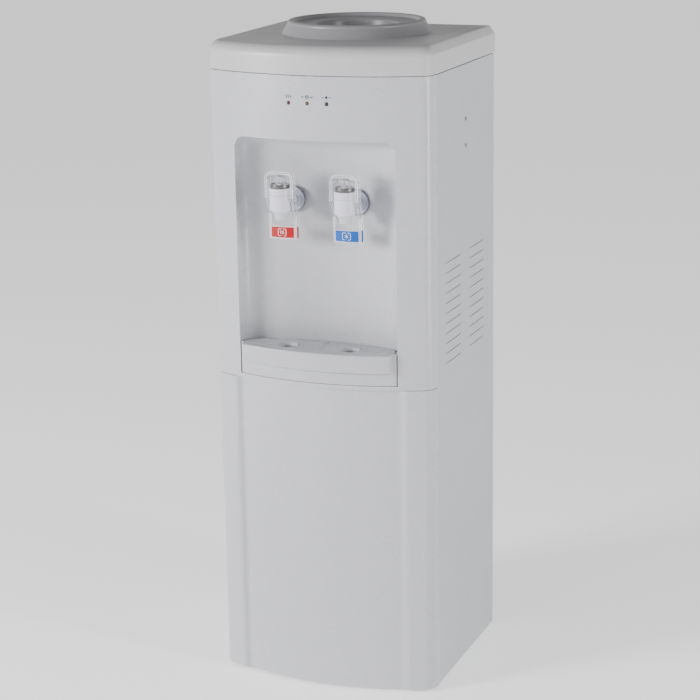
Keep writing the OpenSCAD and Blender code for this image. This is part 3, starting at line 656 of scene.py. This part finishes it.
class DISPENSER_OT_top_cover(bpy.types.Operator):
    """Top cover with a wide front fillet and bevelled sides"""

    bl_idname = "dispenser.top_cover"
    bl_label = "Top cover"

    def execute(self, context):
        settings = context.scene.dispenser_cabinet
        low = COVER[0][2] / MM
        round_r, facet = settings.cover_fillet, settings.cover_side_bevel
        outlines = {}

        def point(i, d):
            d = round(d, 3)
            if d not in outlines:
                outlines[d] = plan(d)
            return outlines[d][i]

        def ring(front, side):
            """One level: (inset, height below the top) at the front and at the sides."""
            level = []
            for i, (x, y) in enumerate(plan(0)):
                share = min(1, max(0, (CORNER_Y - y) / 16 + 0.35))
                share = share * share * (3 - 2 * share)
                d = front[0] * share + side[0] * (1 - share)
                drop = front[1] * share + side[1] * (1 - share)
                level.append((*point(i, d), TOP_Z - drop))
            return level

        height = TOP_Z - low
        rings = [ring((0.8, height), (0.8, height)), ring((0, height - 0.8), (0, height - 0.8))]
        side = [(0, 1.7 * facet), (0.3, 1.62 * facet), (0.3 * facet, 1.15 * facet),
                (0.6 * facet, 0.62 * facet), (0.86 * facet, 0.14 * facet),
                (0.93 * facet, 0.05 * facet), (facet, 0)]
        for i, (inset, drop) in enumerate(side):
            t = pi / 2 * i / (len(side) - 1)
            rings.append(ring((round_r * (1 - cos(t)), round_r * (1 - sin(t))), (inset, drop)))
        cover = stack("top_cover_shell", rings)
        cut(cover, prism("hollow", plan(WALL + 5), low - 5, TOP_Z - WALL - 6))
        hole = [(0, TOP_Z - 20), (57.5, TOP_Z - 20), (57.5, TOP_Z + 5), (0, TOP_Z + 5)]
        cut(cover, turned("hole", hole, (0, COLLAR_Y, 0), closed=False))
        complete(cover, "cabinet", "cover_plastic", ["top_cover"])
        return {"FINISHED"}


class DISPENSER_OT_bottle_collar(bpy.types.Operator):
    """Turned bottle collar with a raised lip, a dished ring and a funnel"""

    bl_idname = "dispenser.bottle_collar"
    bl_label = "Bottle collar"

    def execute(self, context):
        lip = COLLAR[1][2] / MM
        outer = (
            [(97.5, TOP_Z), (100, TOP_Z), (99.6, TOP_Z + 1.2), (92.6, lip - 4.2)]
            + arc(89.0, lip - 3.6, 3.6, 0, 90, 6)
            + arc(85.4, lip - 2.6, 2.6, 90, 175, 5)
            + [(81.6, lip - 4.4), (70, lip - 5.2), (58.5, lip - 5.6)]
            + arc(57.2, lip - 8.6, 3.0, 80, 178, 6)
            + [(53.4, lip - 22), (48, lip - 27.5), (33, lip - 38.6)]
            + [(31, lip - 40.5), (31, 839), (30, 838), (20.3, 838), (20.3, 835.5), (33, 835.5), (33.5, 836),
               (33.5, lip - 41.5), (50, lip - 29), (55.5, lip - 23), (56.3, lip - 10), (60, lip - 8.2),
               (80, lip - 7.4), (84, lip - 5.2), (89, lip - 3.2), (90.4, lip - 5)]
        )
        collar = turned("bottle_collar_shell", outer, (0, COLLAR_Y, 0), steps=128)
        complete(collar, "collar", "collar_plastic", ["bottle_collar", "bottle_funnel"], 50)
        return {"FINISHED"}


class DISPENSER_OT_upper_panel(bpy.types.Operator):
    """Bowed upper panel moulded in one with the tap bay"""

    bl_idname = "dispenser.upper_panel"
    bl_label = "Upper panel"

    def execute(self, context):
        high = UPPER[1][2] / MM
        shell = plan(0, PANEL_END_Y) + plan(WALL, PANEL_END_Y)[::-1]
        panel = prism("front_upper_panel_shell", shell, 425.3, high)
        round_edges(panel, lambda a, b, angle: abs(a.z - b.z) < 1 and angle > 60, 0.4, 2)
        weld(panel, stack("liner", bay_levels(-WALL, 1.5)))
        cut(panel, stack("space", bay_levels(0, None)))
        only(panel)
        bpy.ops.object.mode_set(mode="EDIT")
        bpy.ops.mesh.select_all(action="SELECT")
        bpy.ops.mesh.remove_doubles(threshold=0.03 * MM)
        for z in (BAY_TOP + 9, BAY_TOP + 14):
            bpy.ops.mesh.select_all(action="SELECT")
            bpy.ops.mesh.bisect(plane_co=(0, 0, z * MM), plane_no=(0, 0, 1))
        bpy.ops.object.mode_set(mode="OBJECT")
        complete(panel, "cabinet", "body_plastic", ["front_upper_panel"], 24)
        return {"FINISHED"}


class DISPENSER_OT_lower_panel(bpy.types.Operator):
    """Bowed lower panel with its middle set back between two strips"""

    bl_idname = "dispenser.lower_panel"
    bl_label = "Lower panel"

    def execute(self, context):
        low, high = LOWER[0][2] / MM, LOWER[1][2] / MM
        step, edge, middle = 5.5, 121.0, 112.0

        def face(d):
            points = [(x, y) for x, y in plan(d, PANEL_END_Y) if abs(x) >= edge or y >= -100]
            half = len(points) // 2
            ends = [(-edge, bow_y(edge, d)), (-middle, bow_y(middle, step + d))]
            inset = [(x, bow_y(x, step + d)) for x in spread(-middle, middle, 44)[1:-1]]
            return points[:half] + ends + inset + [(-x, y) for x, y in ends[::-1]] + points[half:]

        panel = prism("front_lower_panel_shell", face(0) + face(WALL)[::-1], low, high)

        round_edges(panel, lambda a, b, angle: abs(a.z - b.z) > 100 and a.y < -90.5 and 12 < angle < 80,
                    3.0, 4)
        round_edges(panel, lambda a, b, angle: abs(a.z - b.z) < 1 and angle > 60, 0.5, 2)
        complete(panel, "cabinet", "body_plastic", ["front_lower_panel"], 30)
        return {"FINISHED"}


class DISPENSER_OT_side_panels(bpy.types.Operator):
    """Painted side panels with two columns of pressed louvers"""

    bl_idname = "dispenser.side_panels"
    bl_label = "Side panels"

    def execute(self, context):
        x1, pitch, length = STEEL_X, 13.6, 62
        low, high = SIDE[0][2] / MM, SIDE[1][2] / MM - 0.9
        y0, y1 = SIDE[0][1] / MM, SIDE[1][1] / MM
        panel = prism("side_panel_right_shell", [
            (x1 - 14, y0), (x1, y0), (x1, y1), (x1 - 10, y1), (x1 - 10, y1 - 1),
            (x1 - 1, y1 - 1), (x1 - 1, y0 + 1), (x1 - 14, y0 + 1)], low, high)
        round_edges(panel, lambda a, b, angle: abs(a.z - b.z) > 100 and min(a.x, b.x) > x1 - 0.1, 0.9, 3)
        slots, hoods = [], []
        for y in (-53.5, 45.0):
            for i in range(11):
                z = 586 - i * pitch
                slots.append(block("slot", (x1 - 4, y + 1.5, z - 4), (x1 + 4, y + length - 1.5, z - 0.8)))
                profile = [(x1 - 0.9, z + 0.6), (x1 - 0.2, z + 0.6), (x1 + 1.35, z - 3.0),
                           (x1 + 1.4, z - 4.0), (x1 + 0.7, z - 4.0), (x1 + 0.6, z - 3.2),
                           (x1 - 0.9, z - 0.4)]
                hood = prism("hood", profile, y, y + length, "XZ")
                for vertex in hood.data.vertices:
                    at = vertex.co / MM
                    if at.y < y + 0.1 or at.y > y + length - 0.1:
                        vertex.co.x = min(vertex.co.x, (x1 - 0.3) * MM)
                hoods.append(hood)
        cut(panel, together("slots", slots))
        louvers = together("side_louvers_right", hoods)
        only(louvers)
        left = mirrored_copy(panel, "side_panel_left_shell")
        left_louvers = mirrored_copy(louvers, "side_louvers_left")
        for piece, replaced in ((panel, ["side_panel_right"]), (left, ["side_panel_left"]),
                                (louvers, ()), (left_louvers, ())):
            complete(piece, "cabinet", "painted_steel", replaced)
        return {"FINISHED"}


class DISPENSER_OT_drip_tray(bpy.types.Operator):
    """Drip tray with a proud grip band"""

    bl_idname = "dispenser.drip_tray"
    bl_label = "Drip tray"

    def execute(self, context):
        low, high = TRAY[0][2] / MM, TRAY[1][2] / MM
        tray = prism("drip_tray_shell", tray_outline(0), low, high)
        round_edges(tray, lambda a, b, angle: abs(a.z - b.z) > 20 and a.y < -115, 3.0, 4)
        round_edges(tray, lambda a, b, angle: max(a.z, b.z) < low + 0.1, 1.2, 3)
        half, proud, under = 105.0, 8.0, 449.0
        outer = [(x, bow_y(x, -proud)) for x in spread(-half, half, 40)]
        inner = [(x, bow_y(x, 1.2)) for x in spread(-half - 1, half + 1, 40)]
        band = prism("band", outer + inner[::-1], under, high)
        round_edges(band, lambda a, b, angle: a.y < -128.5 and b.y < -128.5 and angle > 40
                    and min(a.y - bow_y(a.x, -1), b.y - bow_y(b.x, -1)) < -3, 2.6, 5)
        weld(tray, band)
        groove = [(x, bow_y(x, -0.6)) for x in spread(-half + 3, half - 3, 40)]
        groove += [(x, bow_y(x, 2.8)) for x in spread(half - 3, 3 - half, 40)]
        cut(tray, prism("groove", groove, under - 2.0, under))
        cut(tray, prism("well", tray_outline(5.5), low + 2.5, high + 5))
        cut(tray, prism("seat", tray_outline(2.5), high - 4.4, high + 5))
        cut(tray, block("rear_gap", (-130, -112, high - 8), (130, -60, high + 5)))
        round_edges(tray, lambda a, b, angle: min(a.z, b.z) > high - 0.05 and angle > 60, 0.5, 2)
        complete(tray, "tray", "tray_plastic", ["drip_tray"])
        return {"FINISHED"}


def tray_outline(d):
    """The drip tray's plan, drawn in by d: bowed front, tapered sides, curved back."""
    return [(x, y) for x, y, z in bay_ring(1 + d, 0, d)]


class DISPENSER_OT_drip_grille(bpy.types.Operator):
    """Drip grille with fine slots and two dished drain holes"""

    bl_idname = "dispenser.drip_grille"
    bl_label = "Drip grille"

    def execute(self, context):
        low, high = GRILLE[0][2] / MM, GRILLE[1][2] / MM
        grille = prism("drip_grille_plate", tray_outline(4.4), low, high)
        round_edges(grille, lambda a, b, angle: min(a.z, b.z) > high - 0.05, 0.5, 2)
        tools = []
        for row in range(6):
            y = -96.5 - row * 7.0
            reach = min(bay_side(y, 9), sqrt(max(0, (NICHE_R - 10) ** 2 - (y + 2 - NICHE_Y) ** 2)),
                        sqrt((BOW_R - 9) ** 2 - (y - BOW_Y) ** 2))
            for side in (-1, 1):
                gap = 14.5 ** 2 - (y + 0.7 - DRAIN_Y) ** 2
                spans = [(3, reach)]
                if gap > 0:
                    spans = [(3, DRAIN_X - sqrt(gap)), (DRAIN_X + sqrt(gap), reach)]
                for start, end in spans:
                    if end - start > 4:
                        xs = sorted((side * start, side * end))
                        tools.append(block("slot", (xs[0], y, low - 2), (xs[1], y + 3.2, high + 2)))
        cut(grille, together("slots", tools))
        for side in (-1, 1):
            centre = (side * DRAIN_X, DRAIN_Y, 0)
            dish = [(0, low - 2), (10.6, low - 2), (10.6, low + 0.8), (11.2, high - 1.8),
                    (13.0, high - 0.3), (14.0, high + 1), (0, high + 1)]
            cut(grille, turned("dish", dish, centre, steps=48, closed=False))
            cup = [(10.6, low + 0.5), (10.0, low - 7), (9.2, low - 7), (9.2, low - 7.8),
                   (10.8, low - 7.8), (11.6, low + 0.5)]
            weld(grille, turned("cup", cup, centre, steps=48))
        complete(grille, "grille", "tray_plastic", ["drip_grille"])
        return {"FINISHED"}


class DISPENSER_OT_lamps(bpy.types.Operator):
    """Three lamp lenses with plain marks above them"""

    bl_idname = "dispenser.lamps"
    bl_label = "Lamps"

    def execute(self, context):
        for name, x, slot in (("led_hot", -LAMP_X, "lens_red"), ("led_power", 0, "lens_amber"),
                              ("led_cold", LAMP_X, "lens_green")):
            y = bow_y(x)
            profile = [(0, y - 0.9), (1.2, y - 0.8), (2.2, y - 0.45), (2.8, y + 0.1), (2.8, y + 0.5),
                       (2.5, y + 0.6), (2.5, y + 5.5), (0, y + 5.5)]
            lens = turned(name + "_lens", profile, (x, 0, LAMP_Z), "Y", 32, False)
            complete(lens, "cabinet", slot, [name], 50)
        self.marks()
        return {"FINISHED"}

    def marks(self):
        z = 807.3
        strips = heat_mark(-LAMP_X, z, 3.0, 0.55, 4, 1.15)
        strips.append(flat_strip(arc(0, z, 1.9, 120, 420, 20), 1.1))
        strips.append(flat_strip([(0, z), (0, z + 2.4)], 1.1))
        for side in (-1, 1):
            strips.append(flat_strip([(side * 4.2, z - 0.2), (side * 8.2, z - 0.2)], 1.3))
            ends = [(LAMP_X + side * reach, z - 0.2) for reach in (3.6, 6.4)]
            strips.append(flat_strip(ends, 1.1))
        strips += cold_mark(LAMP_X, z, 2.1, 1.0)
        marks = together("lamp_marks", strips)
        complete(marks, "cabinet", "label_blue", look="print")


def flat_strip(path, width, thick=0.12, surface=None):
    """A printed line that follows a path of (x, z) points on the bowed front."""
    outline = []
    for side in (1, -1):
        run = path if side == 1 else path[::-1]
        for i, (x, z) in enumerate(run):
            before, after = run[max(0, i - 1)], run[min(len(run) - 1, i + 1)]
            dx, dz = after[0] - before[0], after[1] - before[1]
            length = sqrt(dx * dx + dz * dz)
            outline.append((x - dz / length * width / 2, z + dx / length * width / 2))
    y = surface or (lambda x, z: bow_y(x))
    strip = prism("strip", outline, 0, 1, "XZ")
    for vertex in strip.data.vertices:
        at = vertex.co / MM
        depth = y(at.x, at.z) + (0.3 if at.y > 0.5 else -thick)
        vertex.co.y = depth * MM
    return settle(strip)


def heat_mark(x, z, gap, swing, height, width, surface=None):
    """Three rising waves."""
    return [flat_strip([(x + i * gap + swing * sin(t * 2 * pi), z - height / 2 + height * t)
                        for t in spread(0, 1, 10)], width, surface=surface) for i in (-1, 0, 1)]


def cold_mark(x, z, reach, width, surface=None):
    """A plain six-armed star."""
    arms = [(reach * cos(radians(a)), reach * sin(radians(a))) for a in (90, 30, 150)]
    return [flat_strip([(x - dx, z - dz), (x + dx, z + dz)], width, surface=surface) for dx, dz in arms]


# ---- taps ----

def beside(name, outline, x, side, near, far):
    """A (y, z) outline extruded between two distances to one side of x."""
    return prism(name, outline, *sorted((x + side * near, x + side * far)), "YZ")


class DISPENSER_OT_taps(bpy.types.Operator):
    """Two taps with clear cup-push levers"""

    bl_idname = "dispenser.taps"
    bl_label = "Taps"

    def execute(self, context):
        settings = context.scene.dispenser_taps
        for word, side in (("hot", -1), ("cold", 1)):
            centre = (side * settings.spacing, settings.axis_y, 0)
            self.barrel(word, centre)
            self.top(word, centre)
            self.lever(word, centre)
            self.label(word, centre)
        return {"FINISHED"}

    def barrel(self, word, centre):
        x, y, _ = centre
        profile = (
            [(9, 660), (9, 686.4), (9.6, 687), (13.2, 687), (13.8, 686.8), (14.1, 686.3),
             (14.2, 685.6), (14.2, 678.6), (13.2, 678.2), (13.2, 677.5), (14.2, 677.1), (14.2, 660.2)]
            + arc(10.2, 660, 4, 0, -90, 6)
            + [(4, 656), (4, 660)]
        )
        barrel = turned(word + "_tap_barrel", profile, centre, steps=64)
        pipe = [(0, 10), (0, 66.5), (7, 66.5), (7, 10)]
        weld(barrel, turned("pipe", pipe, (x, y, SPOUT_Z), "Y", 32, False))
        complete(barrel, "cabinet", "tap_white", [word + "_tap_body"], 40)
        nozzle_profile = [(6, 645.4), (6, 656), (10.5, 656), (10.5, 653.8), (9.0, 653.2), (8.6, 652),
                          (7.9, 646), (7.4, 645.2), (6.5, 645)]
        nozzle = turned(word + "_tap_nozzle", nozzle_profile, centre, steps=48)
        complete(nozzle, "cabinet", "tap_frosted", [word + "_tap_spout"], 40)
        # The rose is white plastic; its darker blue-grey finish is painted shade.
        rose = turned(word + "_tap_rose", [
            (7.1, -90), (16.6, -90), (16.7, -91.6), (16.2, -92.8), (15.2, -93.4), (14.2, -93.1),
            (13.4, -92.3), (12.2, -92.9), (9.4, -93.9), (7.1, -94)], (x, 0, SPOUT_Z), "Y", 64)
        complete(rose, "cabinet", "tap_frosted", ["tap_escutcheons"], 40, "tap_rose")
        # A dark ring round the rose's rim: painted shade of the gap where the rose meets the wall.
        rim = turned(word + "_tap_rose_shade_rim", [
            (16.8, -90), (17.5, -90), (17.5, -92.2), (17.2, -92.7), (16.8, -92.2)], (x, 0, SPOUT_Z), "Y", 64)
        complete(rim, "cabinet", "tap_frosted", (), 40, "painted_shade_edge")

    def top(self, word, centre):
        """The dark ring and light star on the barrel, the ears for the pins and the stem's ribbed cap."""
        x, y, _ = centre
        ring = turned(word + "_tap_ring", [
            (2.1, 681), (8.9, 681), (8.9, 687.4), (12.2, 687.4), (12.6, 687.9), (12.6, 691.4), (12.3, 691.9),
            (11.7, 692), (11.1, 691.7), (10.9, 691), (10.9, 688.8), (2.1, 688.8)], centre, steps=64)
        complete(ring, "cabinet", "tap_dark", [word + "_tap_bonnet"], 40)
        outline = []
        for i in range(20):
            a = radians(i * 18 + 9)
            r = (10.7, 10.7, 5.2, 5.2)[(i + 1) % 4]
            outline.append((x + r * cos(a), y + r * sin(a)))
        star = prism(word + "_tap_star", outline, 688.6, 691.8)
        soften(star, 0.4)
        complete(star, "cabinet", "tap_white")
        ears = []
        for side in (-1, 1):
            shape = [(y - 3.5, 690), (y + 3.5, 690), (y + 3.5, 699)]
            shape += arc(y, 699, 3.5, 10, 170, 10) + [(y - 3.5, 699)]
            ears.append(beside("ear", shape, x, side, 9.5, 12.0))
        ears = together(word + "_tap_ears", ears)
        soften(ears, 0.3)
        complete(ears, "cabinet", "tap_clear")
        ribs = [turned("cap", [(0, 701.6), (5.0, 701.6), (5.4, 702.0), (4.6, 702.5), (0, 702.7)], centre,
                       steps=32, closed=False)]
        places = [(x + 7.6 * cos(radians(a)), y + 6.6 * sin(radians(a))) for a in range(186, 355, 28)]
        for place in places:
            ribs.append(turned("rib", [(0, 694), (0.9, 694), (0.8, 701.2), (0, 701.6)], (*place, 0),
                               steps=12, closed=False))
        ribs.append(prism("fan", [(x, y)] + places, 700.4, 701.3))
        ribs = together(word + "_tap_stem_ribs", ribs)
        complete(ribs, word + "_stem", "tap_frosted", (), 40)

    def lever(self, word, centre):
        """A clear yoke, a wing and a leg at each side, and a tinted paddle, with painted highlights along the
        clear edges and painted shade lines on the wings.
        """
        x, y, _ = centre
        body = word + "_lever"

        def yoke(d, low=673.0):
            half, top, r = 19.5 - d, 708.0 - d, 9.0 - d
            bend = arc(x + half - r, top - r, r, 0, 90, 10)
            return [(x + half, low)] + bend + [(2 * x - u, z) for u, z in bend[::-1]] + [(x - half, low)]

        def yoke_ring(outer, inner, front, back):
            return prism("yoke", yoke(outer) + yoke(inner)[::-1], y + front, y + back, "XZ")

        lever = yoke_ring(0, 2.7, -5, 5)
        for side in (-1, 1):
            wing = [(y - 5, 673), (y + 6, 673), (y + 13, 651), (y + 4, 651)]
            wing = beside("wing", wing, x, side, 14.6, 20.9)
            for vertex in wing.data.vertices:
                if vertex.co.z < 660 * MM and abs(vertex.co.x / MM - x) > 18:
                    vertex.co.x = (x + side * 19.5) * MM
            weld(lever, wing)
            leg = [(y + v, z) for v, z in ((6, 653), (12, 653), (13, 650), (13, 634), (6.5, 634), (6, 636))]
            weld(lever, beside("leg", leg, x, side, 17.1, 19.4))
        weld(lever, prism("paddle", self.paddle(centre, 19, 0, 14), PADDLE_LOW, PADDLE_HIGH))
        tongue = [(y - 4.5, 705.6), (y + 8, 705.6), (y + 8, 699.2), (y + 3.5, 699.2), (y + 3.5, 697),
                  (y + 10.5, 697), (y + 10.5, 708), (y - 4.5, 708)]
        weld(lever, prism("tongue", tongue, x - 4, x + 4, "YZ"))
        soften(lever, 0.4)
        lever.name = body + "_yoke"
        complete(lever, body, "tap_clear", [word + "_tap_lever"], 40)
        # Thin near-white strips along the yoke and legs: painted highlight where the clear plastic's edges
        # catch the light.
        edges = [yoke_ring(*band) for band in ((0, 0.5, -5.15, -4.6), (0, 0.5, 4.6, 5.15),
                                               (2.3, 2.8, -5.15, -4.6))]
        for side in (-1, 1):
            for inset, v in ((0, 6.0), (2.0, 6.0), (0, 12.6)):
                u = sorted((x + side * (19.0 - inset), x + side * (19.5 - inset)))
                edges.append(block("edge", (u[0], y + v - 0.25, 635.5), (u[1], y + v + 0.5, 651.5)))
        edges = together(word + "_lever_painted_highlights", edges)
        complete(edges, body, "tap_clear", (), 40, "edge")
        # Dark grey lines along the wings' edges: painted shade where the clear edges look dark.
        lines = []
        for side in (-1, 1):
            rim = [(x + side * u, z) for u, z in ((14.8, 673.1), (20.9, 673.1), (20.9, 672.5), (14.8, 672.5))]
            lines.append(prism("line", rim, y - 5.2, y - 4.5, "XZ"))
            slope = [(y - 5.2, 673), (y - 4.4, 673), (y + 4.7, 651), (y + 3.9, 651)]
            slant = beside("line", slope, x, side, 20.3, 21.0)
            for vertex in slant.data.vertices:
                if vertex.co.z < 660 * MM:
                    vertex.co.x -= side * 1.4 * MM
            lines.append(slant)
            lines.append(beside("line", slope, x, side, 14.6, 15.1))
        lines = together(word + "_lever_shade_lines", lines)
        complete(lines, body, "tap_frosted", (), 40, "painted_shade_edge")
        border = prism(word + "_lever_border", self.paddle(centre, 18.9, 0.35, 1.2),
                       PADDLE_LOW + 0.1, PADDLE_HIGH - 0.1)
        complete(border, body, "tap_clear", (), 40, word + "_border")
        strip = block(word + "_lever_strip", (x + 18.8, y + 8.2, 619.5), (x + 19.15, y + 13.2, 634.6))
        soften(strip, 0.1)
        slot = LABELS[word]
        complete(strip, body, slot, (), 40)

    def paddle(self, centre, half, proud, back):
        """Plan of the bowed paddle: its front set proud, its back at a distance behind the axis."""
        x, y, _ = centre
        front = [(x + u, y + 3.5 + u * u / PADDLE_BOW - proud) for u in spread(-half, half, 16)]
        if back > 3:
            return front + [(x + half, y + back), (x - half, y + back)]
        return front + [(x + u, y + 3.5 + u * u / PADDLE_BOW + back) for u in spread(half, -half, 16)]

    def label(self, word, centre):
        x, y, _ = centre
        slot = LABELS[word]
        label = prism(word + "_label_plate", self.paddle(centre, 15.7, 0.8, 0.1), 620.3, 634.0)
        complete(label, word + "_lever", slot, [word + "_tap_label"], 40)
        z = 627.2

        def face(u, v):
            return y + 3.5 + (u - x) ** 2 / PADDLE_BOW - 0.8

        corner = arc(x + 3.9, z + 3.0, 1.6, 0, 90, 4)
        half = [(x + 5.5, z)] + corner + [(2 * x - u, v) for u, v in corner[::-1]] + [(x - 5.5, z)]
        other = [(u, 2 * z - v) for u, v in half]
        strips = [flat_strip(path, 0.65, surface=face) for path in (half, other)]
        if word == "hot":
            strips += heat_mark(x, z, 2.2, 0.5, 4.8, 0.65, face)
        else:
            strips += cold_mark(x, z, 2.7, 0.6, face)
        mark = together(word + "_label_mark", strips)
        complete(mark, word + "_lever", slot, look="white_print")


class DISPENSER_OT_condenser(bpy.types.Operator):
    """Rear condenser tube with half-round bends"""

    bl_idname = "dispenser.condenser"
    bl_label = "Condenser"

    def execute(self, context):
        low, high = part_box("condenser_tube")
        y0, z0, x1, y1, z1 = (c / MM for c in (*low[1:], *high))
        r, runs = (y1 - y0) / 2, 11
        reach, y = x1 - r, (y0 + y1) / 2
        step = (z1 - z0 - 2 * r) / (runs - 1)
        bow = step / 2
        path = [(reach, z0 + r, 180)]
        for i in range(runs - 1):
            side = -1 if i % 2 == 0 else 1
            middle = z0 + r + (i + 0.5) * step
            for a in spread(-90, 90, 8):
                along, rise = bow * cos(radians(a)), bow * sin(radians(a))
                path.append((side * (reach - bow + along), middle + rise, 90 + side * a))
        path.append((-reach, z1 - r, 180))
        rings = []
        for x, z, heading in path:
            across = (-sin(radians(heading)), cos(radians(heading)))
            rings.append([(x + r * cos(t) * across[0], y + r * sin(t), z + r * cos(t) * across[1])
                          for t in spread(0, 2 * pi, 12)[:-1]])
        coil = stack("condenser_tube_coil", rings)
        complete(coil, "cabinet", "black_paint", ["condenser_tube"], 50)
        return {"FINISHED"}


class DISPENSER_OT_stage(bpy.types.Operator):
    """Pale floor, soft lights and the camera"""

    bl_idname = "dispenser.stage"
    bl_label = "Stage"

    def execute(self, context):
        settings = context.scene.dispenser_stage
        self.floor(settings)
        self.lights(settings)
        self.camera(context.scene, settings)
        return {"FINISHED"}

    def floor(self, settings):
        deselect()
        bpy.ops.mesh.primitive_plane_add(size=40, location=(0, 0, 0))
        floor = named("floor")
        material = bpy.data.materials.new("Pale floor")
        material.use_nodes = True
        tree = material.node_tree
        set_inputs(tree, tree.nodes["Principled BSDF"], {
            "Base Color": (0.92, 0.92, 0.92, 1), "Roughness": 0.85, "Specular IOR Level": 0.1,
            "Emission Color": (1, 1, 1, 1), "Emission Strength": settings.glow})
        floor.data.materials.append(material)

    def lights(self, settings):
        world = bpy.context.scene.world or bpy.data.worlds.new("World")
        bpy.context.scene.world = world
        world.use_nodes = True
        tree = world.node_tree
        sky = tree.nodes.get("Background")
        place = tree.nodes.new("ShaderNodeTexCoord").outputs["Generated"]
        split = add_node(tree, "SeparateXYZ", {"Vector": place})
        fade = add_node(tree, "MapRange", {
            "From Min": -0.1, "From Max": 0.85, "To Min": settings.sky, "To Max": settings.zenith,
            "Value": split.outputs["Z"]})
        fade.interpolation_type = "SMOOTHSTEP"
        across = add_node(tree, "MapRange", {
            "From Min": -0.9, "From Max": 0.9, "To Min": 1.2, "To Max": settings.right,
            "Value": split.outputs["X"]})
        share = product(tree, "Math", fade.outputs["Result"], across.outputs["Result"])
        set_inputs(tree, sky, {"Strength": share, "Color": (1, 1, 1, 1)})
        for name, place, size, power in (
                ("key", (-2.1, -2.2, 1.15), (0.8, 0.8), settings.key_power),
                ("strip", (2.45, -0.6, 0.8), (0.25, 1.8), settings.fill_power)):
            deselect()
            bpy.ops.object.light_add(type="AREA", location=place)
            lamp = bpy.context.active_object
            lamp.name = name
            lamp.data.shape = "RECTANGLE"
            lamp.data.size, lamp.data.size_y = size
            lamp.data.energy = power
            aim = Vector((0, 0, 0.5)) - Vector(place)
            lamp.rotation_euler = aim.to_track_quat("-Z", "Y").to_euler()

    def camera(self, scene, settings):
        yaw, pitch, roll = settings.yaw, settings.pitch, settings.roll
        ahead = Vector((-sin(yaw) * cos(pitch), cos(yaw) * cos(pitch), -sin(pitch)))
        right = ahead.cross(Vector((0, 0, 1))).normalized()
        up = right.cross(ahead)
        turned_right = right * cos(roll) + up * sin(roll)
        turned_up = up * cos(roll) - right * sin(roll)
        deselect()
        bpy.ops.object.camera_add()
        camera = bpy.context.active_object
        camera.data.lens = settings.focal_length
        camera.data.sensor_width = 36
        basis = Matrix((turned_right, turned_up, -ahead)).transposed().to_4x4()
        camera.matrix_world = Matrix.Translation(Vector(settings.eye)) @ basis
        scene.camera = camera


class DISPENSER_PT_sidebar(bpy.types.Panel):
    """The dispenser's pieces in the sidebar"""

    bl_label = "Water dispenser"
    bl_space_type = "VIEW_3D"
    bl_region_type = "UI"
    bl_category = "Dispenser"

    def draw(self, context):
        for step in STEPS:
            self.layout.operator(step.bl_idname)


SETTINGS = (CabinetSettings, TapSettings, StageSettings)
STEPS = (
    DISPENSER_OT_finishes,
    DISPENSER_OT_top_cover,
    DISPENSER_OT_bottle_collar,
    DISPENSER_OT_upper_panel,
    DISPENSER_OT_lower_panel,
    DISPENSER_OT_side_panels,
    DISPENSER_OT_drip_tray,
    DISPENSER_OT_drip_grille,
    DISPENSER_OT_lamps,
    DISPENSER_OT_taps,
    DISPENSER_OT_condenser,
    DISPENSER_OT_stage,
)


def register():
    for item in SETTINGS + STEPS + (DISPENSER_PT_sidebar,):
        bpy.utils.register_class(item)
    bpy.types.Scene.dispenser_cabinet = bpy.props.PointerProperty(type=CabinetSettings)
    bpy.types.Scene.dispenser_taps = bpy.props.PointerProperty(type=TapSettings)
    bpy.types.Scene.dispenser_stage = bpy.props.PointerProperty(type=StageSettings)


def unregister():
    del bpy.types.Scene.dispenser_stage
    del bpy.types.Scene.dispenser_taps
    del bpy.types.Scene.dispenser_cabinet
    for item in reversed(SETTINGS + STEPS + (DISPENSER_PT_sidebar,)):
        bpy.utils.unregister_class(item)


def main():
    register()
    for step in STEPS:
        group, action = step.bl_idname.split(".")
        result = getattr(getattr(bpy.ops, group), action)()
        if result != {"FINISHED"}:
            raise RuntimeError(step.bl_label + " was not finished")


if __name__ == "__main__":
    main()
